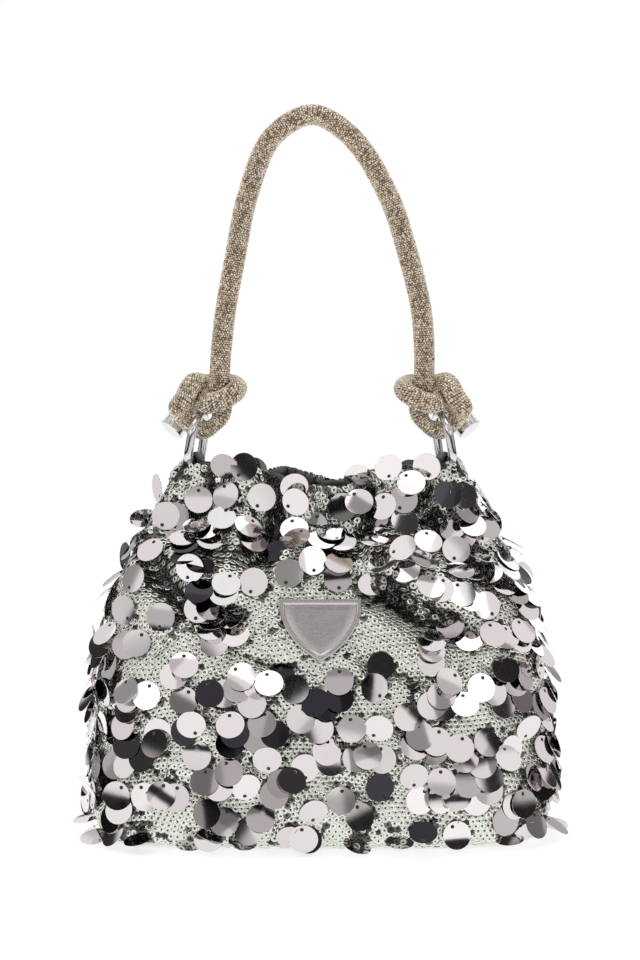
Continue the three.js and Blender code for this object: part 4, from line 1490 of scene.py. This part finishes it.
# How much of that shows by distance from the nearest of the four main directions, 0 to 45 degrees.
ROOM_PILLARS = [
    (0, 0.35), (4.0, 0.35), (4.4, 1.0), (21, 1.0), (21.6, 0.6), (26, 0.6), (26.6, 1.0), (39, 1.0),
    (39.6, 0.04), (45, 0.04),
]
WHITE = (1, 1, 1)


def room_ramp(n, value, low, high, stops):
    spread = [((at - low) / (high - low), (level, level * 0.985, level * 0.985)) for at, level in stops]
    return n.ramp(n.math("DIVIDE", n.math("SUBTRACT", value, low), high - low), spread)


def build_world():
    """White behind the object for the camera, and a studio of bright and dark panels to reflect."""
    world = bpy.data.worlds.new("studio")
    bpy.context.scene.world = world
    n = Nodes(world)
    direction = n.node("TexCoord").outputs["Generated"]
    x, y, z = n.node("SeparateXYZ", {0: direction}).outputs
    height = n.math("DEGREES", n.math("ARCSINE", z))
    turn = n.math("ABSOLUTE", n.math("DEGREES", n.math("ARCTAN2", x, y)))
    pillars = room_ramp(n, n.math("PINGPONG", turn, 45.0), 0, 45, ROOM_PILLARS)
    shown = n.mix(n.math("LESS_THAN", height, -1.2), pillars, WHITE)
    colour = n.mix(1.0, room_ramp(n, height, -90, 90, ROOM_BANDS), shown, "MULTIPLY")
    room = n.node("Background", {"Color": colour, "Strength": 1.0})
    seen = n.node("Background", {"Color": WHITE, "Strength": 1.0})
    chosen = n.node("MixShader", {0: n.node("LightPath").outputs["Is Camera Ray"]})
    n.link(room.outputs[0], chosen.inputs[1])
    n.link(seen.outputs[0], chosen.inputs[2])
    n.link(chosen.outputs[0], n.node("OutputWorld").inputs["Surface"])


FLOOR_RADIUS = 1.5  # in metres
FLOOR_GLOW = 0.72


def build_floor():
    """A pale floor that fades into the white background towards its edge."""
    bpy.ops.mesh.primitive_circle_add(vertices=96, radius=FLOOR_RADIUS, fill_type="NGON")
    floor = bpy.context.active_object
    floor.name = "floor"
    n = Finish("pale_floor")
    n.set(Base_Color=(0.46, 0.46, 0.46), Roughness=0.55, Specular_IOR_Level=0.2)
    n.set(Emission_Color=WHITE, Emission_Strength=FLOOR_GLOW)
    distance = n.node("VectorMath", {0: n.place()}, operation="LENGTH").outputs["Value"]
    fade = n.ramp(n.math("DIVIDE", distance, FLOOR_RADIUS), [(0.3, (0, 0, 0)), (0.9, WHITE)])
    mixed = n.node("MixShader", {0: fade})
    n.link(n.shader.outputs[0], mixed.inputs[1])
    n.link(n.node("BsdfTransparent").outputs[0], mixed.inputs[2])
    n.link(mixed.outputs[0], n.output.inputs["Surface"])
    floor.data.materials.append(n.material)


# Name, place in metres, width, height, radiance and colour of each soft light.
LIGHTS = [
    ("key_left", (-1.05, -1.15, 0.85), 0.7, 0.6, 0.95, (1, 0.985, 0.98)),
    ("key_right", (1.05, -1.15, 0.75), 0.6, 0.6, 0.85, (1, 0.985, 0.985)),
    ("top", (0, -0.1, 1.5), 1.3, 1.3, 0.95, WHITE),
    ("back_left", (-1.05, 1.15, 0.8), 0.7, 0.6, 0.9, WHITE),
    ("back_right", (1.05, 1.15, 0.8), 0.7, 0.6, 0.9, WHITE),
]


def build_lights():
    for name, place, width, height, radiance, colour in LIGHTS:
        light = bpy.data.lights.new(name, "AREA")
        light.shape = "RECTANGLE"
        light.size, light.size_y = width, height
        light.energy = math.pi * radiance * width * height
        light.color = colour
        holder = bpy.data.objects.new(name, light)
        bpy.context.scene.collection.objects.link(holder)
        holder.location = place
        aim = Vector((0, 0, 0.12)) - Vector(place)
        holder.rotation_euler = aim.to_track_quat("-Z", "Y").to_euler()
        holder.visible_camera = False


CAMERA_DISTANCE, CAMERA_ELEVATION = 1.4, math.radians(3.6)
FRAME_HEIGHT = 0.480  # what the picture's height spans at the bag's middle
LOOK_AT = (-0.0002, 0.0, 0.178)


def build_camera():
    camera_data = bpy.data.cameras.new("camera")
    camera_data.sensor_fit = "VERTICAL"
    camera_data.sensor_height = 24
    camera_data.lens = 24 * CAMERA_DISTANCE / FRAME_HEIGHT
    camera_data.clip_start = 0.05
    camera = bpy.data.objects.new("camera", camera_data)
    bpy.context.scene.collection.objects.link(camera)
    offset = Vector((0, -math.cos(CAMERA_ELEVATION), math.sin(CAMERA_ELEVATION))) * CAMERA_DISTANCE
    camera.location = Vector(LOOK_AT) + offset
    camera.rotation_euler = (-offset).to_track_quat("-Z", "Y").to_euler()
    bpy.context.scene.camera = camera


# ---- Assembly -------------------------------------------------------------------------------

grid, fold = fold_surface(base_surface())
grid = settle(grid)
surface = Surface(grid)
fold = fold[..., None]

ground = ground_finish()
small = sequin_finish()
lining = lining_finish()
leather = leather_finish()
polished = polished_finish()
satin = satin_finish()

build_fabric(surface, ground)
build_base(ground, small)
discs = build_discs(surface, fold, disc_finish(), thread_finish())
build_sequins(surface, fold, small, discs)
build_lining(surface, lining, leather)
build_pocket(surface, lining)
path = rope_path()
radius = rope_radius(path)
build_sleeve(path, radius, sleeve_finish())
build_stones(path, radius, stone_finish())
build_end_caps(path, polished)
for name, side in (("left", -1), ("right", 1)):
    build_ring(name, side, polished)
    build_tab(name, side, leather)
build_badge(satin)
dress_cad_nodes(
    {
        "base_board": board_finish(),
        "badge_backing_plate": satin,
        "snap_socket": polished,
        "snap_magnet": dark_magnet_finish(),
        "snap_stud": polished,
        "snap_socket_washer": satin,
        "snap_stud_washer": satin,
        "rope_core": cord_finish(),
    }
)
build_world()
build_floor()
build_lights()
build_camera()
bpy.context.scene.view_settings.view_transform = "Standard"
